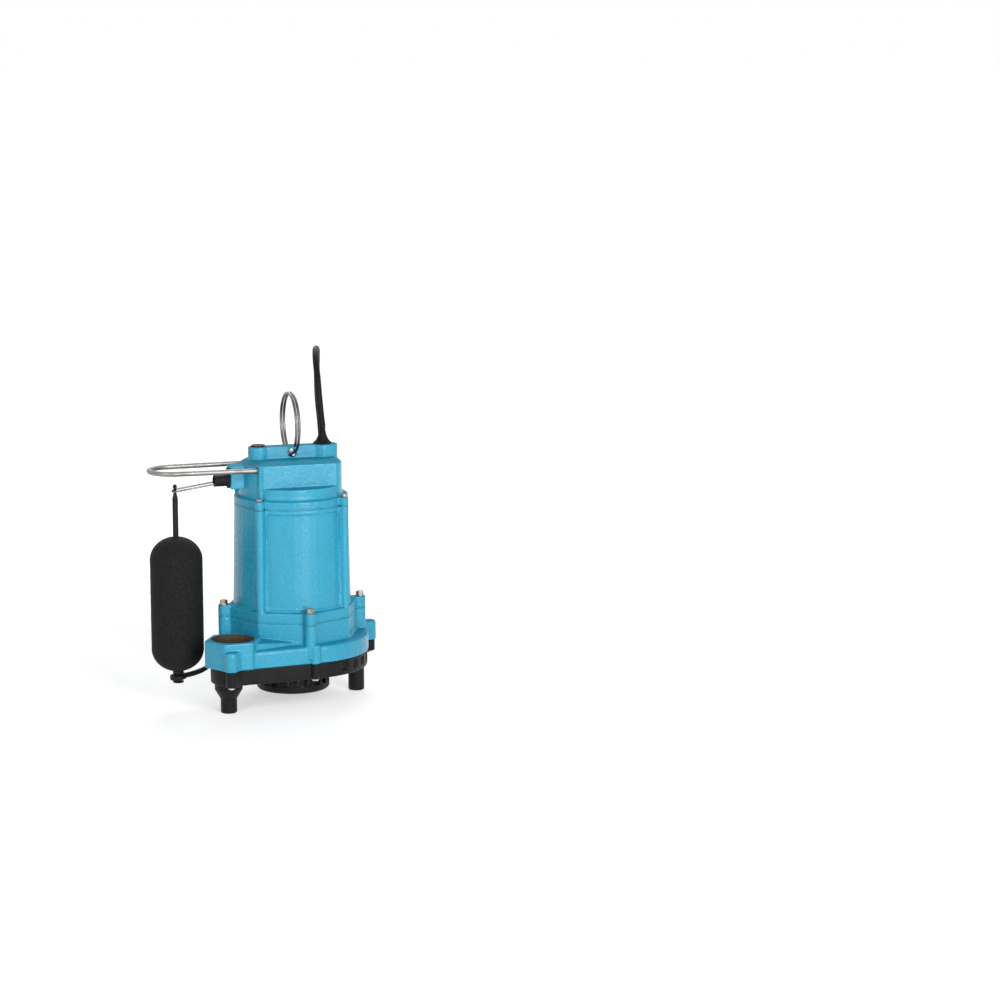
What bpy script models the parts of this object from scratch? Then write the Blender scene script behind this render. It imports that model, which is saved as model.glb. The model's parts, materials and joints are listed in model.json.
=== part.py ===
"""Submersible sump pump with a vertical float switch.

The motor stands upright on a volute and a three-legged base. The front, with the
recessed panel, faces -Y and the switch side faces -X. Every piece is modelled about
the motor's axis with the floor at z = 0, and one empty carries them all, so that the
pump stands over the world's origin. All sizes are in metres.
"""

import math

import bmesh
import bpy
from mathutils import Matrix, Vector

# --- clearances ---
SEAT = 0.0003  # between two pieces that touch
RUN = 0.0006  # round a piece that turns
OVER = 0.002  # how far a cutter passes the face it opens

# --- levels, from the floor up ---
VOLUTE_LOW = 0.0600  # joint of volute and base
SKIRT_LOW = 0.0410
STRAINER_LOW = 0.0138
SEAM_LOW = 0.1055  # joint of volute and housing
SEAM_TOP = 0.2390  # joint of housing and cover
GASKET = 0.0008
GASKET_INSET = 0.0006

# --- motor housing ---
BARREL_LOW_R = 0.0700
BARREL_TAPER = 0.0026  # how much narrower the barrel is at its top
BARREL_TOP_R = BARREL_LOW_R - BARREL_TAPER
BARREL_WALL = 0.0049  # at the top, under the cover
BARREL_BORE_R = BARREL_TOP_R - BARREL_WALL
BRACKET_LEDGE = 0.0015  # how much wider the bore is over the bearing bracket
FLANGE_CORNER_R = 0.0060
FLANGE_SPREAD = 0.0042  # from the barrel's side out to the flange's corners
FLANGE_CORNERS_AT = BARREL_LOW_R + FLANGE_SPREAD
FLANGE_THICK = 0.0115
CAST_EDGE = 0.0010  # broken edge of a casting
BOLT_STAND = 0.0136  # from the barrel's side out to the bolts
BOLT_CIRCLE_R = BARREL_LOW_R + BOLT_STAND
BOLT_BOSS_R = 0.0068
BOLT_BOSS_RISE = 0.0015
BOLT_R = 0.0030
BOLT_HEAD_R = 0.0056
BOLT_HEAD_HIGH = 0.0056
BOLT_LONG = 0.0270
SCREW_STAND = 0.0048  # from the barrel's top edge out to the cover's screws
SCREW_CIRCLE_R = BARREL_TOP_R + SCREW_STAND
PILASTER_R = 0.0052
SCREW_R = 0.0020
SCREW_HEAD_R = 0.0046
SCREW_HEAD_HIGH = 0.0030
SCREW_LONG = 0.0220
PANEL_HALF_ANGLE = math.radians(39.5)
PANEL_LOW = 0.1200
PANEL_TOP = 0.2335
PANEL_DEEP = 0.0016
PANEL_CORNER_R = 0.0060
FLOOR_THICK = 0.0240  # the housing's floor, which holds the lower bearing and the seal
SHAFT_PASS = 0.0030  # clear round the shaft in the housing's floor
SPIGOT_R = 0.0495
SPIGOT_LONG = 0.0045

# --- top cover ---
COVER_LIP = 0.0002  # how far the cover stands over the barrel's top edge
COVER_FLANGE_R = BARREL_TOP_R + COVER_LIP
COVER_FLANGE_THICK = 0.0090
SCREW_SEAT_RISE = 0.0003  # each screw seats on its own faced pad
COVER_STEP = 0.0071  # from the flange's edge in to the drum
DRUM_R = COVER_FLANGE_R - COVER_STEP
DRUM_SHOULDER = 0.2852
DRUM_CROWN = 0.0066  # from the shoulder up to the flat top
DRUM_TOP = DRUM_SHOULDER + DRUM_CROWN
DRUM_SLOPE = 0.0105  # from the drum's side in to the flat top
DRUM_TOP_R = DRUM_R - DRUM_SLOPE
DRUM_WALL = 0.0085
DRUM_BORE_R = DRUM_R - DRUM_WALL
DRUM_ROOF = 0.0060
DRUM_FLAT_Y = -0.0400
FRONT_BOX_Y = -0.0430
FRONT_BOX_HALF_WIDE = 0.0492
FRONT_BOX_CORNER_R = 0.0030
FRONT_BOX_RISE = 0.0050  # over the drum's shoulder
FRONT_BOX_TOP = DRUM_SHOULDER + FRONT_BOX_RISE
PLATE_RAISED = 0.0016
PLATE_HALF_WIDE = 0.0450
PLATE_LOW = 0.2625
BOSS_HIGH = 0.0147  # over the drum's flat top
TOP_FACE = DRUM_TOP + BOSS_HIGH
BOSS_IN = 0.0213  # from the drum's side in to the bosses' middles
BOSS_X = DRUM_R - BOSS_IN
LEFT_BOSS_R = 0.0122
RIGHT_BOSS_R = 0.0140
WEB_HALF_THICK = 0.0090
PLUG_HOLE_R = 0.0063
PLUG_HOLE_DEEP = 0.0090
GLAND_HOLE_R = 0.0078
GLAND_HOLE_DEEP = 0.0100
BLOCK_LEFT_X = -0.0750
BLOCK_CORNER_R = 0.0015
BLOCK_ROOT = 0.0014  # how far the block reaches in under the left boss
BLOCK_HALF_WIDE = 0.0115
BLOCK_LOW = 0.2582
BLOCK_TOP = 0.2862

# --- lifting ring: two strands of one wire, as on a split ring ---
RING_OUTER_R = 0.0380
RING_WIRE_R = 0.0016
RING_STRAND_GAP = 0.0005
RING_HOLE_R = 0.0052
RING_HOLE_DEEP = 0.0083  # from the web's top down to the middle of the hole
RING_HOLE_Z = TOP_FACE - RING_HOLE_DEEP
RING_SPLIT_AT = math.radians(280.0)

# --- guard bail ---
BAIL_R = 0.0030
BAIL_HALF_WIDE = 0.0280
BAIL_DEEP = 0.0024  # from the drum's shoulder down to the rod
BAIL_Z = DRUM_SHOULDER - BAIL_DEEP
BAIL_BEND_X = -0.1415
BAIL_SINK = 0.0155  # from the drum's left side in to the rod's ends
BAIL_END_X = BAIL_SINK - DRUM_R
BAIL_SOCKET = 0.0200
BAIL_FRONT_END_Y = -0.0340
BAIL_BACK_END_Y = 0.0300

# --- float switch ---
PIVOT_X = -0.0700
PIVOT_Z = 0.2686
PIVOT_PIN_R = 0.0015
PIVOT_PIN_HALF = 0.0096
BOOT_Z = 0.2679
BOOT_R = 0.0069
BOOT_WALL = 0.0010
BOOT_END_X = -0.0934
BOOT_FLANGE_R = 0.0078
BOOT_FLANGE_LOW = -0.0018  # from the bore's axis to the flange's lower round
BOOT_FLANGE_HIGH = 0.0078
BOOT_FLANGE_THICK = 0.0020
SWITCH_BORE_R = 0.0062
POCKET_LEFT_X = -0.0732
POCKET_RIGHT_X = -0.0440
POCKET_HALF_WIDE = 0.0054
POCKET_LOW = 0.2600
POCKET_TOP = 0.2825
EYE_X = -0.1398
EYE_Z = 0.2588
ARM_WIRE_R = 0.0010
ARM_ROLL = math.radians(-16.0)
HUB_R = 0.0036
FINGER_HIGH = 0.0090
FINGER_HALF_THICK = 0.0022
PLUNGER_R = 0.0012
PLUNGER_RISE = 0.0070  # plunger's height over the pivot
PLUNGER_STROKE = 0.0025
SWITCH_LONG = 0.0190
LUG_HALF_THICK = 0.0008
LUG_HALF_HIGH = 0.0025
LUG_LONG = 0.0060
LUGS_APART = 0.0050
LUG_DROP = 0.0100  # from the plunger's height down to the lugs
ROD_NECK_R = 0.0018
ROD_NECK_HALF = 0.0032
ROD_TIP_R = 0.0026
ROD_TIP_HIGH = 0.0045
ROD_R = 0.0033
ROD_INNER_R = 0.0024
FLOAT_R = 0.0310
FLOAT_DOME = 0.0270
FLOAT_LOW = 0.0430
FLOAT_TOP = 0.2042
RETAINER_R = 0.0042
RETAINER_THICK = 0.0030
ROD_HEAD_R = 0.0064
ROD_HEAD_LOW = 0.0290
ROD_HEAD_THICK = 0.0018
TETHER_EYE_Z = 0.0362
TETHER_EYE_R = 0.0100
TETHER_HOLE_R = 0.0058
TETHER_THICK = 0.0040
TETHER_WIDE = 0.0064
TETHER_SECTION = ((-1, -0.7), (-0.5, -1), (0.5, -1), (1, -0.7), (1, 0.7), (0.5, 1), (-0.5, 1), (-1, 0.7))
TETHER_TILT = math.radians(6.0)
ANCHOR_X = -0.0970
ANCHOR_Z = 0.0500
ANCHOR_BARREL_R = 0.0040
ANCHOR_PIN_R = 0.0016
EAR_THICK = 0.0030
EAR_R = 0.0058

# --- volute ---
RIM_TOP = 0.0806
RIM_EDGE = 0.0036
BOLT_COLUMN_LIFT = 0.0060  # from the lower joint up to the bolt columns' feet
VOLUTE_MEAN_R = 0.0865
VOLUTE_GROWTH_X = 0.0040
VOLUTE_GROWTH_Y = 0.0010
SPIGOT_PLAY = 0.0005
NECK_BORE_R = SPIGOT_R + SPIGOT_PLAY
CHAMBER_R = 0.0680
CHAMBER_TOP = 0.0790
PORT_X = -0.0892
PORT_Y = -0.0680
PORT_TOP = 0.0923
PORT_R = 0.0241
PORT_FLOOR = 0.0632
PORT_HEX_FLATS = 0.0588
PORT_HEX_CORNER_R = 0.0026
PORT_WAY_R = 0.0278
RAMP_FOOT_R = 0.0268
RAMP_CREST_R = 0.0240
RAMP_FAR = (0.0040, -0.0560)
RAMP_FALL = 0.0096
COLUMN_EDGE = 0.0032
SPOT_FACE = 0.0005  # how deep a base screw's head sits in its column
SCREW_COLUMNS = {  # name: (x, y, radius, top, foot)
    "port": (-0.0985, -0.0985, 0.0082, 0.0835, 0.0420),
    "front": (0.0045, -0.0870, 0.0062, 0.0832, 0.0424),
    "right": (0.1020, 0.0235, 0.0080, 0.0840, 0.0466),
    "back": (-0.0560, 0.0700, 0.0070, 0.0832, 0.0420),
}
BASE_SCREW_R = 0.0024
BASE_SCREW_HEAD_R = 0.0048
BASE_SCREW_HEAD_HIGH = 0.0026
BASE_SCREW_LONG = 0.0290

# --- base and strainer ---
BASE_INSET = 0.0014
BASE_PLATE_THICK = 0.0075
SKIRT_WALL = 0.0032
COLLAR = 0.0007  # stays round each leg and column inside the skirt
INLET_R = 0.0220
POCKET_ANGLES = (-60, -48, -36, -24, -12)
RIB_ANGLES = (45, 165, 285, 330)
RIB_HALF_THICK = 0.0012
LEG_FOOT_R = 0.0098
LEG_FLARE_HIGH = 0.0110
LEGS = {  # name: (x, y, radius of the flare, where it starts)
    "port": (-0.0905, -0.0485, 0.0165, 0.0170),
    "right": (0.0835, 0.0180, 0.0118, 0.0270),
    "back": (-0.0100, 0.0735, 0.0118, 0.0270),
}
STRAINER_R = 0.0434
STRAINER_WALL = 0.0026
STRAINER_FLOOR = 0.0030
STRAINER_SLOTS = 12
SLOT_WIDE = 0.0120
SLOT_LOW = 0.0225
SLOT_TOP = 0.0375

# --- inside ---
SHAFT_R = 0.0060
SHAFT_END_R = 0.0050
SHAFT_END_LONG = 0.0140  # the thinner end, which carries the impeller
SHAFT_TOP = 0.2330
ROTOR_R = 0.0310
ROTOR_LOW = 0.1520
ROTOR_TOP = 0.2020
STATOR_LOW = 0.1500
STATOR_TOP = 0.2040
WINDING_HIGH = 0.0120
WINDING_HALF_WIDE = 0.0105
WINDING_OUTWARDS = 0.00085  # from the stator's middle out to the winding's
WINDING_SIDES = 6
UPPER_BEARING_R = 0.0150
LOWER_BEARING_R = 0.0175
BEARING_HIGH = 0.0090
BRACKET_LOW = 0.2235
BRACKET_THICK = 0.0060
BRACKET_CUP = 0.0040  # how far the bearing's cup hangs below the bracket
VENT_R = 0.0060
VENTS_AT = 0.0420
SEAL_SEAT_R = 0.0157
SEAL_SEAT_HIGH = 0.0070
SEAL_HEAD_R = 0.0130
IMPELLER_R = 0.0500
IMPELLER_DISC_LOW = 0.0720
IMPELLER_DISC_THICK = 0.0040
IMPELLER_VANE_LOW = 0.0625
IMPELLER_HUB_R = 0.0100
IMPELLER_DISH = 0.0010  # how much thicker the disc is at its hub
IMPELLER_NOSE = 0.0020  # from the vanes' lower edge up to the hub's nose
IMPELLER_VANES = 6
VANE_CENTRE = (0.0200, -0.0260)
VANE_ARC_R = 0.0330
VANE_HALF_THICK = 0.0013

# --- cord: 10 feet of 7.6 mm lead, of which the last two metres lie in a coil ---
CORD_R = 0.0038
GLAND_BASE_R = 0.0108
GLAND_HIGH = 0.0150  # over the right boss
GLAND_TOP = TOP_FACE + GLAND_HIGH
COIL_X = 0.0450
COIL_Y = 0.2000
COIL_MEAN_R = 0.0483
COIL_PITCH = 0.0082
COIL_TURNS = 4  # in each of two layers
COIL_START = math.radians(-20.0)
LOOP_POINTS = 24
FLOOR_GAP = 0.0002
CORD_ROUTE = (  # up out of the strain relief, over, and down behind the motor
    (0.0392, 0.0015, 0.3310),
    (0.0390, 0.0070, 0.3470),
    (0.0390, 0.0125, 0.3630),
    (0.0392, 0.0190, 0.3820),
    (0.0412, 0.0340, 0.4010),
    (0.0470, 0.0560, 0.4115),
    (0.0555, 0.0820, 0.4070),
    (0.0612, 0.1050, 0.3830),
    (0.0655, 0.1180, 0.3450),
    (0.0705, 0.1240, 0.3050),
    (0.0720, 0.1270, 0.2600),
    (0.0720, 0.1280, 0.2100),
    (0.0720, 0.1280, 0.1600),
    (0.0720, 0.1285, 0.1100),
    (0.0725, 0.1300, 0.0700),
    (0.0765, 0.1350, 0.0400),
    (0.0860, 0.1465, 0.0205),
)
PLUG_RISE = 0.0100  # height of the plug's middle
PLUG_LONG = 0.0400
PLUG_HALF_WIDE = 0.0125
PLUG_HALF_HIGH = 0.0095
PLUG_NECK_LONG = 0.0180
TAIL_LONG = 0.0500
BLADE_LONG = 0.0175
BLADE_APART = 0.0127
BLADE_SINK = 0.0060  # how deep the blades and the pin stand in the plug
BLADE_HALF_THICK = 0.0008
BLADE_HALF_WIDE = 0.0032
BLADE_RISE = 0.0025  # from the plug's middle up to the blades
PIN_R = 0.0024
PIN_DROP = 0.0052  # from the plug's middle down to the pin
PIN_LONGER = 0.0030

FINISHES = {  # name: (base colour, roughness, metallic)
    "blue_paint": ((0.050, 0.370, 0.570), 0.35, 0.0),
    "black_moulding": ((0.018, 0.018, 0.019), 0.55, 0.0),
    "black_rubber": ((0.014, 0.014, 0.015), 0.75, 0.0),
    "float_skin": ((0.016, 0.016, 0.017), 0.85, 0.0),
    "steel": ((0.560, 0.550, 0.530), 0.30, 1.0),
    "bearing_steel": ((0.620, 0.620, 0.630), 0.22, 1.0),
    "lamination": ((0.300, 0.300, 0.310), 0.50, 1.0),
    "copper": ((0.720, 0.340, 0.180), 0.35, 1.0),
    "brass": ((0.780, 0.570, 0.260), 0.30, 1.0),
    "ceramic": ((0.700, 0.690, 0.660), 0.25, 0.0),
    "white_moulding": ((0.600, 0.600, 0.580), 0.45, 0.0),
}


# --- scene helpers ---


def clear_scene():
    for thing in list(bpy.data.objects):
        bpy.data.objects.remove(thing, do_unlink=True)


def make_finish(name):
    colour, roughness, metallic = FINISHES[name]
    finish = bpy.data.materials.new(name)
    finish.use_nodes = True
    shader = finish.node_tree.nodes["Principled BSDF"]
    shader.inputs["Base Color"].default_value = (*colour, 1.0)
    shader.inputs["Roughness"].default_value = roughness
    shader.inputs["Metallic"].default_value = metallic
    finish.diffuse_color = (*colour, 1.0)
    return finish


def make_empty(name, place, parent=None):
    empty = bpy.data.objects.new(name, None)
    empty.location = place
    empty.parent = parent
    empty.empty_display_size = 0.02
    bpy.context.scene.collection.objects.link(empty)
    return empty


def object_from(name, solid):
    data = bpy.data.meshes.new(name)
    solid.to_mesh(data)
    solid.free()
    made = bpy.data.objects.new(name, data)
    bpy.context.scene.collection.objects.link(made)
    return made


def combine(piece, operation, solids):
    """Cut solids from a piece, or join them to it, and keep the result as its mesh."""
    tools = [object_from("cutter", solid) for solid in solids]
    for tool in tools:
        tool.hide_render = True
        tool.display_type = "WIRE"
        step = piece.modifiers.new("combine", "BOOLEAN")
        step.operation = operation
        step.object = tool
    bpy.context.view_layer.update()
    graph = bpy.context.evaluated_depsgraph_get()
    made = bpy.data.meshes.new_from_object(piece.evaluated_get(graph))
    piece.modifiers.clear()
    before = piece.data
    piece.data = made
    bpy.data.meshes.remove(before)
    for tool in tools:
        bpy.data.objects.remove(tool, do_unlink=True)


def fuse(piece, *solids):
    combine(piece, "UNION", solids)


def cut(piece, *solids):
    combine(piece, "DIFFERENCE", solids)


def make_piece(name, solid, finish, parent, fused=(), holes=(), smooth=32.0):
    """A named piece: a solid, what is fused to it, and what is cut from it."""
    piece = object_from(name, solid)
    if fused:
        fuse(piece, *fused)
    if holes:
        cut(piece, *holes)
    work = bmesh.new()
    work.from_mesh(piece.data)
    bmesh.ops.remove_doubles(work, verts=work.verts, dist=0.000002)
    bmesh.ops.dissolve_limit(
        work, angle_limit=math.radians(0.4), verts=work.verts, edges=work.edges
    )
    work.to_mesh(piece.data)
    work.free()
    piece.data.materials.clear()
    piece.data.materials.append(bpy.data.materials[finish])
    piece.data.shade_smooth()
    piece.data.set_sharp_from_angle(angle=math.radians(smooth))
    piece.data.name = name
    piece.parent = parent
    piece.data.transform(Matrix.Translation(-parent_place(parent)))
    return piece


def parent_place(parent):
    """Where a parent empty stands in the pump's frame."""
    return Vector(parent.location) if parent.parent else Vector()


# --- outlines and solids ---


def around(centre, radius, angle):
    return (centre[0] + radius * math.cos(angle), centre[1] + radius * math.sin(angle))


def hull(circles, steps=32, inset=0.0):
    """The outline round circles (x, y, radius), one point for each direction."""
    points = []
    for i in range(steps):
        angle = 2.0 * math.pi * (i + 0.5) / steps
        x, y, radius = max(
            circles,
            key=lambda c: c[0] * math.cos(angle) + c[1] * math.sin(angle) + c[2],
        )
        points.append(around((x, y), radius - inset, angle))
    return points


def skin(rings, closed=False):
    """A solid through rings of points. A ring of one point is a tip."""
    solid = bmesh.new()
    loops = [[solid.verts.new(point) for point in ring] for ring in rings]
    pairs = list(zip(loops, loops[1:]))
    if closed:
        pairs.append((loops[-1], loops[0]))
    for low, high in pairs:
        count = max(len(low), len(high))
        for i in range(count):
            j = (i + 1) % count
            corners = [low[i % len(low)], low[j % len(low)]]
            corners += [high[j % len(high)], high[i % len(high)]]
            corners = list(dict.fromkeys(corners))
            if len(corners) > 2:
                solid.faces.new(corners)
    if not closed:
        for loop in (loops[0], loops[-1]):
            if len(loop) > 2:
                solid.faces.new(loop)
    bmesh.ops.recalc_face_normals(solid, faces=solid.faces)
    bmesh.ops.connect_verts_nonplanar(solid, angle_limit=0.0005, faces=solid.faces)
    return solid


def turned(profile, steps=32, closed=False, centre=(0.0, 0.0)):
    """A solid of revolution about Z, from (radius, height) points."""
    rings = []
    for radius, height in profile:
        count = steps if radius > 0.0 else 1
        angles = (2.0 * math.pi * (i + 0.5) / steps for i in range(count))
        rings.append([(*around(centre, radius, angle), height) for angle in angles])
    return skin(rings, closed)


def tube(inner, outer, low, high, steps=32, centre=(0.0, 0.0)):
    profile = [(outer, low), (outer, high), (inner, high), (inner, low)]
    return turned(profile, steps, True, centre)


def disc(radius, low, high, steps=32, centre=(0.0, 0.0), edge=0.0):
    """A round bar or disc, with its top edge taken off."""
    profile = [(0.0, low), (radius, low), (radius, high - edge)]
    if edge:
        profile.append((radius - edge, high))
    return turned(profile + [(0.0, high)], steps, False, centre)


def column(circles, low, high, steps=32, edge=0.0):
    """An upright solid on a hull outline, with its top edge taken off."""
    levels = [(low, 0.0), (high - edge, 0.0)]
    if edge:
        levels.append((high, edge))
    return skin([[(*p, z) for p in hull(circles, steps, i)] for z, i in levels])


def box(low, high):
    corners = [(low[0], low[1]), (high[0], low[1]), (high[0], high[1]), (low[0], high[1])]
    return skin([[(*corner, z) for corner in corners] for z in (low[2], high[2])])


def along_x(solid, x, y, z):
    """Lay a solid that was made about Z along X, with its foot at the point."""
    solid.transform(Matrix.Translation((x, y, z)) @ Matrix.Rotation(math.pi / 2, 4, "Y"))
    return solid


def along_y(solid, x, y, z):
    """Lay a solid that was made about Z along Y, with its foot at the point."""
    solid.transform(Matrix.Translation((x, y, z)) @ Matrix.Rotation(-math.pi / 2, 4, "X"))
    return solid


def moved(solid, *steps):
    for step in steps:
        solid.transform(step)
    return solid


def arc(centre, across, up, radius, start, end, count):
    """Points on an arc in the plane of two unit vectors."""
    centre, across, up = Vector(centre), Vector(across), Vector(up)
    angles = (start + (end - start) * i / count for i in range(count + 1))
    return [centre + radius * (across * math.cos(a) + up * math.sin(a)) for a in angles]


def wire(path, radius, sides=10):
    """A round wire along a path, with flat ends, turned as little as it can."""
    path = [Vector(point) for point in path]
    ways = [(b - a).normalized() for a, b in zip(path, path[1:])]
    tangents = [ways[0]] + [(a + b).normalized() for a, b in zip(ways, ways[1:])]
    tangents.append(ways[-1])
    side = tangents[0].orthogonal().normalized()
    rings = []
    for point, tangent in zip(path, tangents):
        side = (side - tangent * side.dot(tangent)).normalized()
        other = tangent.cross(side)
        angles = (2.0 * math.pi * i / sides for i in range(sides))
        rings.append(
            [point + radius * (side * math.cos(a) + other * math.sin(a)) for a in angles]
        )
    return skin(rings)


def quarter_places(radius, first):
    """Four points a quarter turn apart."""
    return [around((0.0, 0.0), radius, first + i * math.pi / 2) for i in range(4)]


BOLT_PLACES = quarter_places(BOLT_CIRCLE_R, 0.0)
SCREW_PLACES = quarter_places(SCREW_CIRCLE_R, math.pi / 4)
HOUSING_LOW = SEAM_LOW + GASKET / 2 + SEAT
HOUSING_TOP = SEAM_TOP - GASKET / 2 - SEAT
COVER_LOW = SEAM_TOP + GASKET / 2 + SEAT
VOLUTE_TOP = SEAM_LOW - GASKET / 2 - SEAT
FLANGE_TOP = HOUSING_LOW + FLANGE_THICK
FLANGE_CIRCLES = [
    *((x, y, FLANGE_CORNER_R) for x, y in quarter_places(FLANGE_CORNERS_AT, 0.0)),
    *((x, y, PILASTER_R) for x, y in SCREW_PLACES),
]
BOSS_TOP = FLANGE_TOP + BOLT_BOSS_RISE
COVER_FLANGE_TOP = COVER_LOW + COVER_FLANGE_THICK
SCREW_PAD = COVER_FLANGE_TOP + SCREW_SEAT_RISE
FLOOR_TOP = HOUSING_LOW + FLOOR_THICK


# --- motor housing ---


def barrel_r(height):
    """The barrel's outer radius, which draws in towards the top."""
    share = (height - FLANGE_TOP) / (HOUSING_TOP - FLANGE_TOP)
    return BARREL_LOW_R + (BARREL_TOP_R - BARREL_LOW_R) * share


def panel_recess():
    """The front panel's recess: a shallow shell of the barrel inside a rounded frame."""
    shell = [(BARREL_LOW_R * 1.4, PANEL_LOW - OVER), (BARREL_LOW_R * 1.4, PANEL_TOP + OVER)]
    shell += [(barrel_r(PANEL_TOP + OVER) - PANEL_DEEP, PANEL_TOP + OVER)]
    shell += [(barrel_r(PANEL_LOW - OVER) - PANEL_DEEP, PANEL_LOW - OVER)]
    piece = object_from("recess", turned(shell, 48, True))
    half = barrel_r(PANEL_LOW) * math.sin(PANEL_HALF_ANGLE) - PANEL_CORNER_R
    low, high = PANEL_LOW + PANEL_CORNER_R, PANEL_TOP - PANEL_CORNER_R
    corners = [(x, z, PANEL_CORNER_R) for x in (-half, half) for z in (low, high)]
    frame = skin([[(x, y, z) for x, z in hull(corners, 12)] for y in (-2 * BARREL_LOW_R, 0.0)])
    combine(piece, "INTERSECT", [frame])
    made = bmesh.new()
    made.from_mesh(piece.data)
    bpy.data.objects.remove(piece, do_unlink=True)
    return made


def make_motor_housing(frame):
    barrel = turned(
        [
            (0.0, HOUSING_LOW + OVER),
            (BARREL_LOW_R, HOUSING_LOW + OVER),
            (BARREL_LOW_R, FLANGE_TOP),
            (BARREL_TOP_R, HOUSING_TOP),
            (0.0, HOUSING_TOP),
        ],
        48,
    )
    flange = column(FLANGE_CIRCLES, HOUSING_LOW, FLANGE_TOP, 32, CAST_EDGE)
    spigot = disc(SPIGOT_R, HOUSING_LOW - SPIGOT_LONG, HOUSING_LOW + OVER, 24)
    bosses = [
        column([(x, y, BOLT_BOSS_R), (x * 0.8, y * 0.8, BOLT_BOSS_R)], HOUSING_LOW, BOSS_TOP, 16)
        for x, y in BOLT_PLACES
    ]
    pilasters = [
        column([(x, y, PILASTER_R), (x * 0.9, y * 0.9, PILASTER_R)], HOUSING_LOW, HOUSING_TOP, 14)
        for x, y in SCREW_PLACES
    ]
    bore = disc(BARREL_BORE_R, FLOOR_TOP, HOUSING_TOP + OVER, 28)
    floor_low = HOUSING_LOW - SPIGOT_LONG - OVER
    holes = [
        bore,
        disc(BARREL_BORE_R + BRACKET_LEDGE, BRACKET_LOW - SEAT, HOUSING_TOP + OVER, 28),
        disc(LOWER_BEARING_R + SEAT, FLOOR_TOP - BEARING_HIGH, FLOOR_TOP + OVER, 18),
        disc(SHAFT_R + SHAFT_PASS, floor_low, FLOOR_TOP + OVER, 16),
        disc(SEAL_SEAT_R + SEAT, floor_low, seal_seat_low() + SEAL_SEAT_HIGH + SEAT, 18),
        panel_recess(),
    ]
    holes += [
        disc(BOLT_R + SEAT, HOUSING_LOW - OVER, BOSS_TOP + OVER, 10, place)
        for place in BOLT_PLACES
    ]
    holes += [
        disc(SCREW_R + SEAT, screw_foot() - SEAT, HOUSING_TOP + OVER, 8, place)
        for place in SCREW_PLACES
    ]
    make_piece(
        "motor_housing", barrel, "blue_paint", frame, [flange, spigot, *bosses, *pilasters], holes
    )


def seal_seat_low():
    return HOUSING_LOW - SPIGOT_LONG


def screw_foot():
    return SCREW_PAD + SEAT - SCREW_LONG


# --- fasteners ---


def round_head_screw(place, seat, head_r, head_high, shank_r, long, sides=10):
    """A domed head on its seat, with the shank below it."""
    profile = [
        (0.0, seat - long),
        (shank_r, seat - long),
        (shank_r, seat),
        (head_r, seat),
        (head_r, seat + 0.55 * head_high),
        (head_r * 0.72, seat + 0.9 * head_high),
        (0.0, seat + head_high),
    ]
    return turned(profile, sides, False, place)


def hex_bolt(place, seat, head_r, head_high, shank_r, long):
    """A hexagon head with a round washer face, and the shank below it."""
    washer = 0.0012
    shank = turned(
        [(0.0, seat - long), (shank_r, seat - long), (shank_r, seat + OVER), (0.0, seat + OVER)],
        10,
        False,
        place,
    )
    flange = disc(head_r, seat, seat + washer, 12, place)
    corner = head_r * 0.86
    head = disc(corner, seat + washer / 2, seat + head_high, 6, place, edge=0.0006)
    return shank, flange, head


def make_fasteners(frame):
    for i, place in enumerate(SCREW_PLACES):
        seat = SCREW_PAD + SEAT
        screw = round_head_screw(
            place, seat, SCREW_HEAD_R, SCREW_HEAD_HIGH, SCREW_R, SCREW_LONG
        )
        make_piece(f"cover_screw_{i + 1}", screw, "steel", frame)
    for i, place in enumerate(BOLT_PLACES):
        shank, flange, head = hex_bolt(
            place, BOSS_TOP + SEAT, BOLT_HEAD_R, BOLT_HEAD_HIGH, BOLT_R, BOLT_LONG
        )
        make_piece(f"housing_bolt_{i + 1}", flange, "steel", frame, [shank, head])
    for name, (x, y, _, _, foot) in SCREW_COLUMNS.items():
        screw = round_head_screw(
            (0.0, 0.0), 0.0, BASE_SCREW_HEAD_R, BASE_SCREW_HEAD_HIGH, BASE_SCREW_R, BASE_SCREW_LONG
        )
        moved(
            screw,
            Matrix.Rotation(math.pi, 4, "X"),
            Matrix.Translation((x, y, foot - SEAT)),
        )
        make_piece(f"base_screw_{name}", screw, "steel", frame)


def make_gaskets(frame):
    """Flat rings, a little smaller than the flanges that press them."""
    low, high = SEAM_TOP - GASKET / 2, SEAM_TOP + GASKET / 2
    ring = tube(BARREL_BORE_R + BRACKET_LEDGE, COVER_FLANGE_R - GASKET_INSET, low, high, 28)
    make_piece("cover_gasket", ring, "blue_paint", frame)
    low, high = SEAM_LOW - GASKET / 2, SEAM_LOW + GASKET / 2
    plate = outline_solid(FLANGE_CIRCLES, 32, ((low, GASKET_INSET), (high, GASKET_INSET)))
    hole = disc(SPIGOT_R + 0.0020, low - OVER, high + OVER, 24)
    make_piece("volute_gasket", plate, "blue_paint", frame, holes=[hole])


# --- top cover ---


def flat_front(radius, flat, height, steps=40):
    """A circle whose front is pressed back to a flat."""
    places = (around((0.0, 0.0), radius, 2.0 * math.pi * (i + 0.5) / steps) for i in range(steps))
    return [(x, max(y, flat), height) for x, y in places]


def bail_path():
    """The rod's middle line: two legs that open a little towards the cover."""
    half = BAIL_HALF_WIDE
    bend = arc((BAIL_BEND_X, 0, BAIL_Z), (0, -1, 0), (-1, 0, 0), half, 0.0, math.pi, 14)
    return [(BAIL_END_X, BAIL_FRONT_END_Y, BAIL_Z), *bend, (BAIL_END_X, BAIL_BACK_END_Y, BAIL_Z)]


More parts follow.
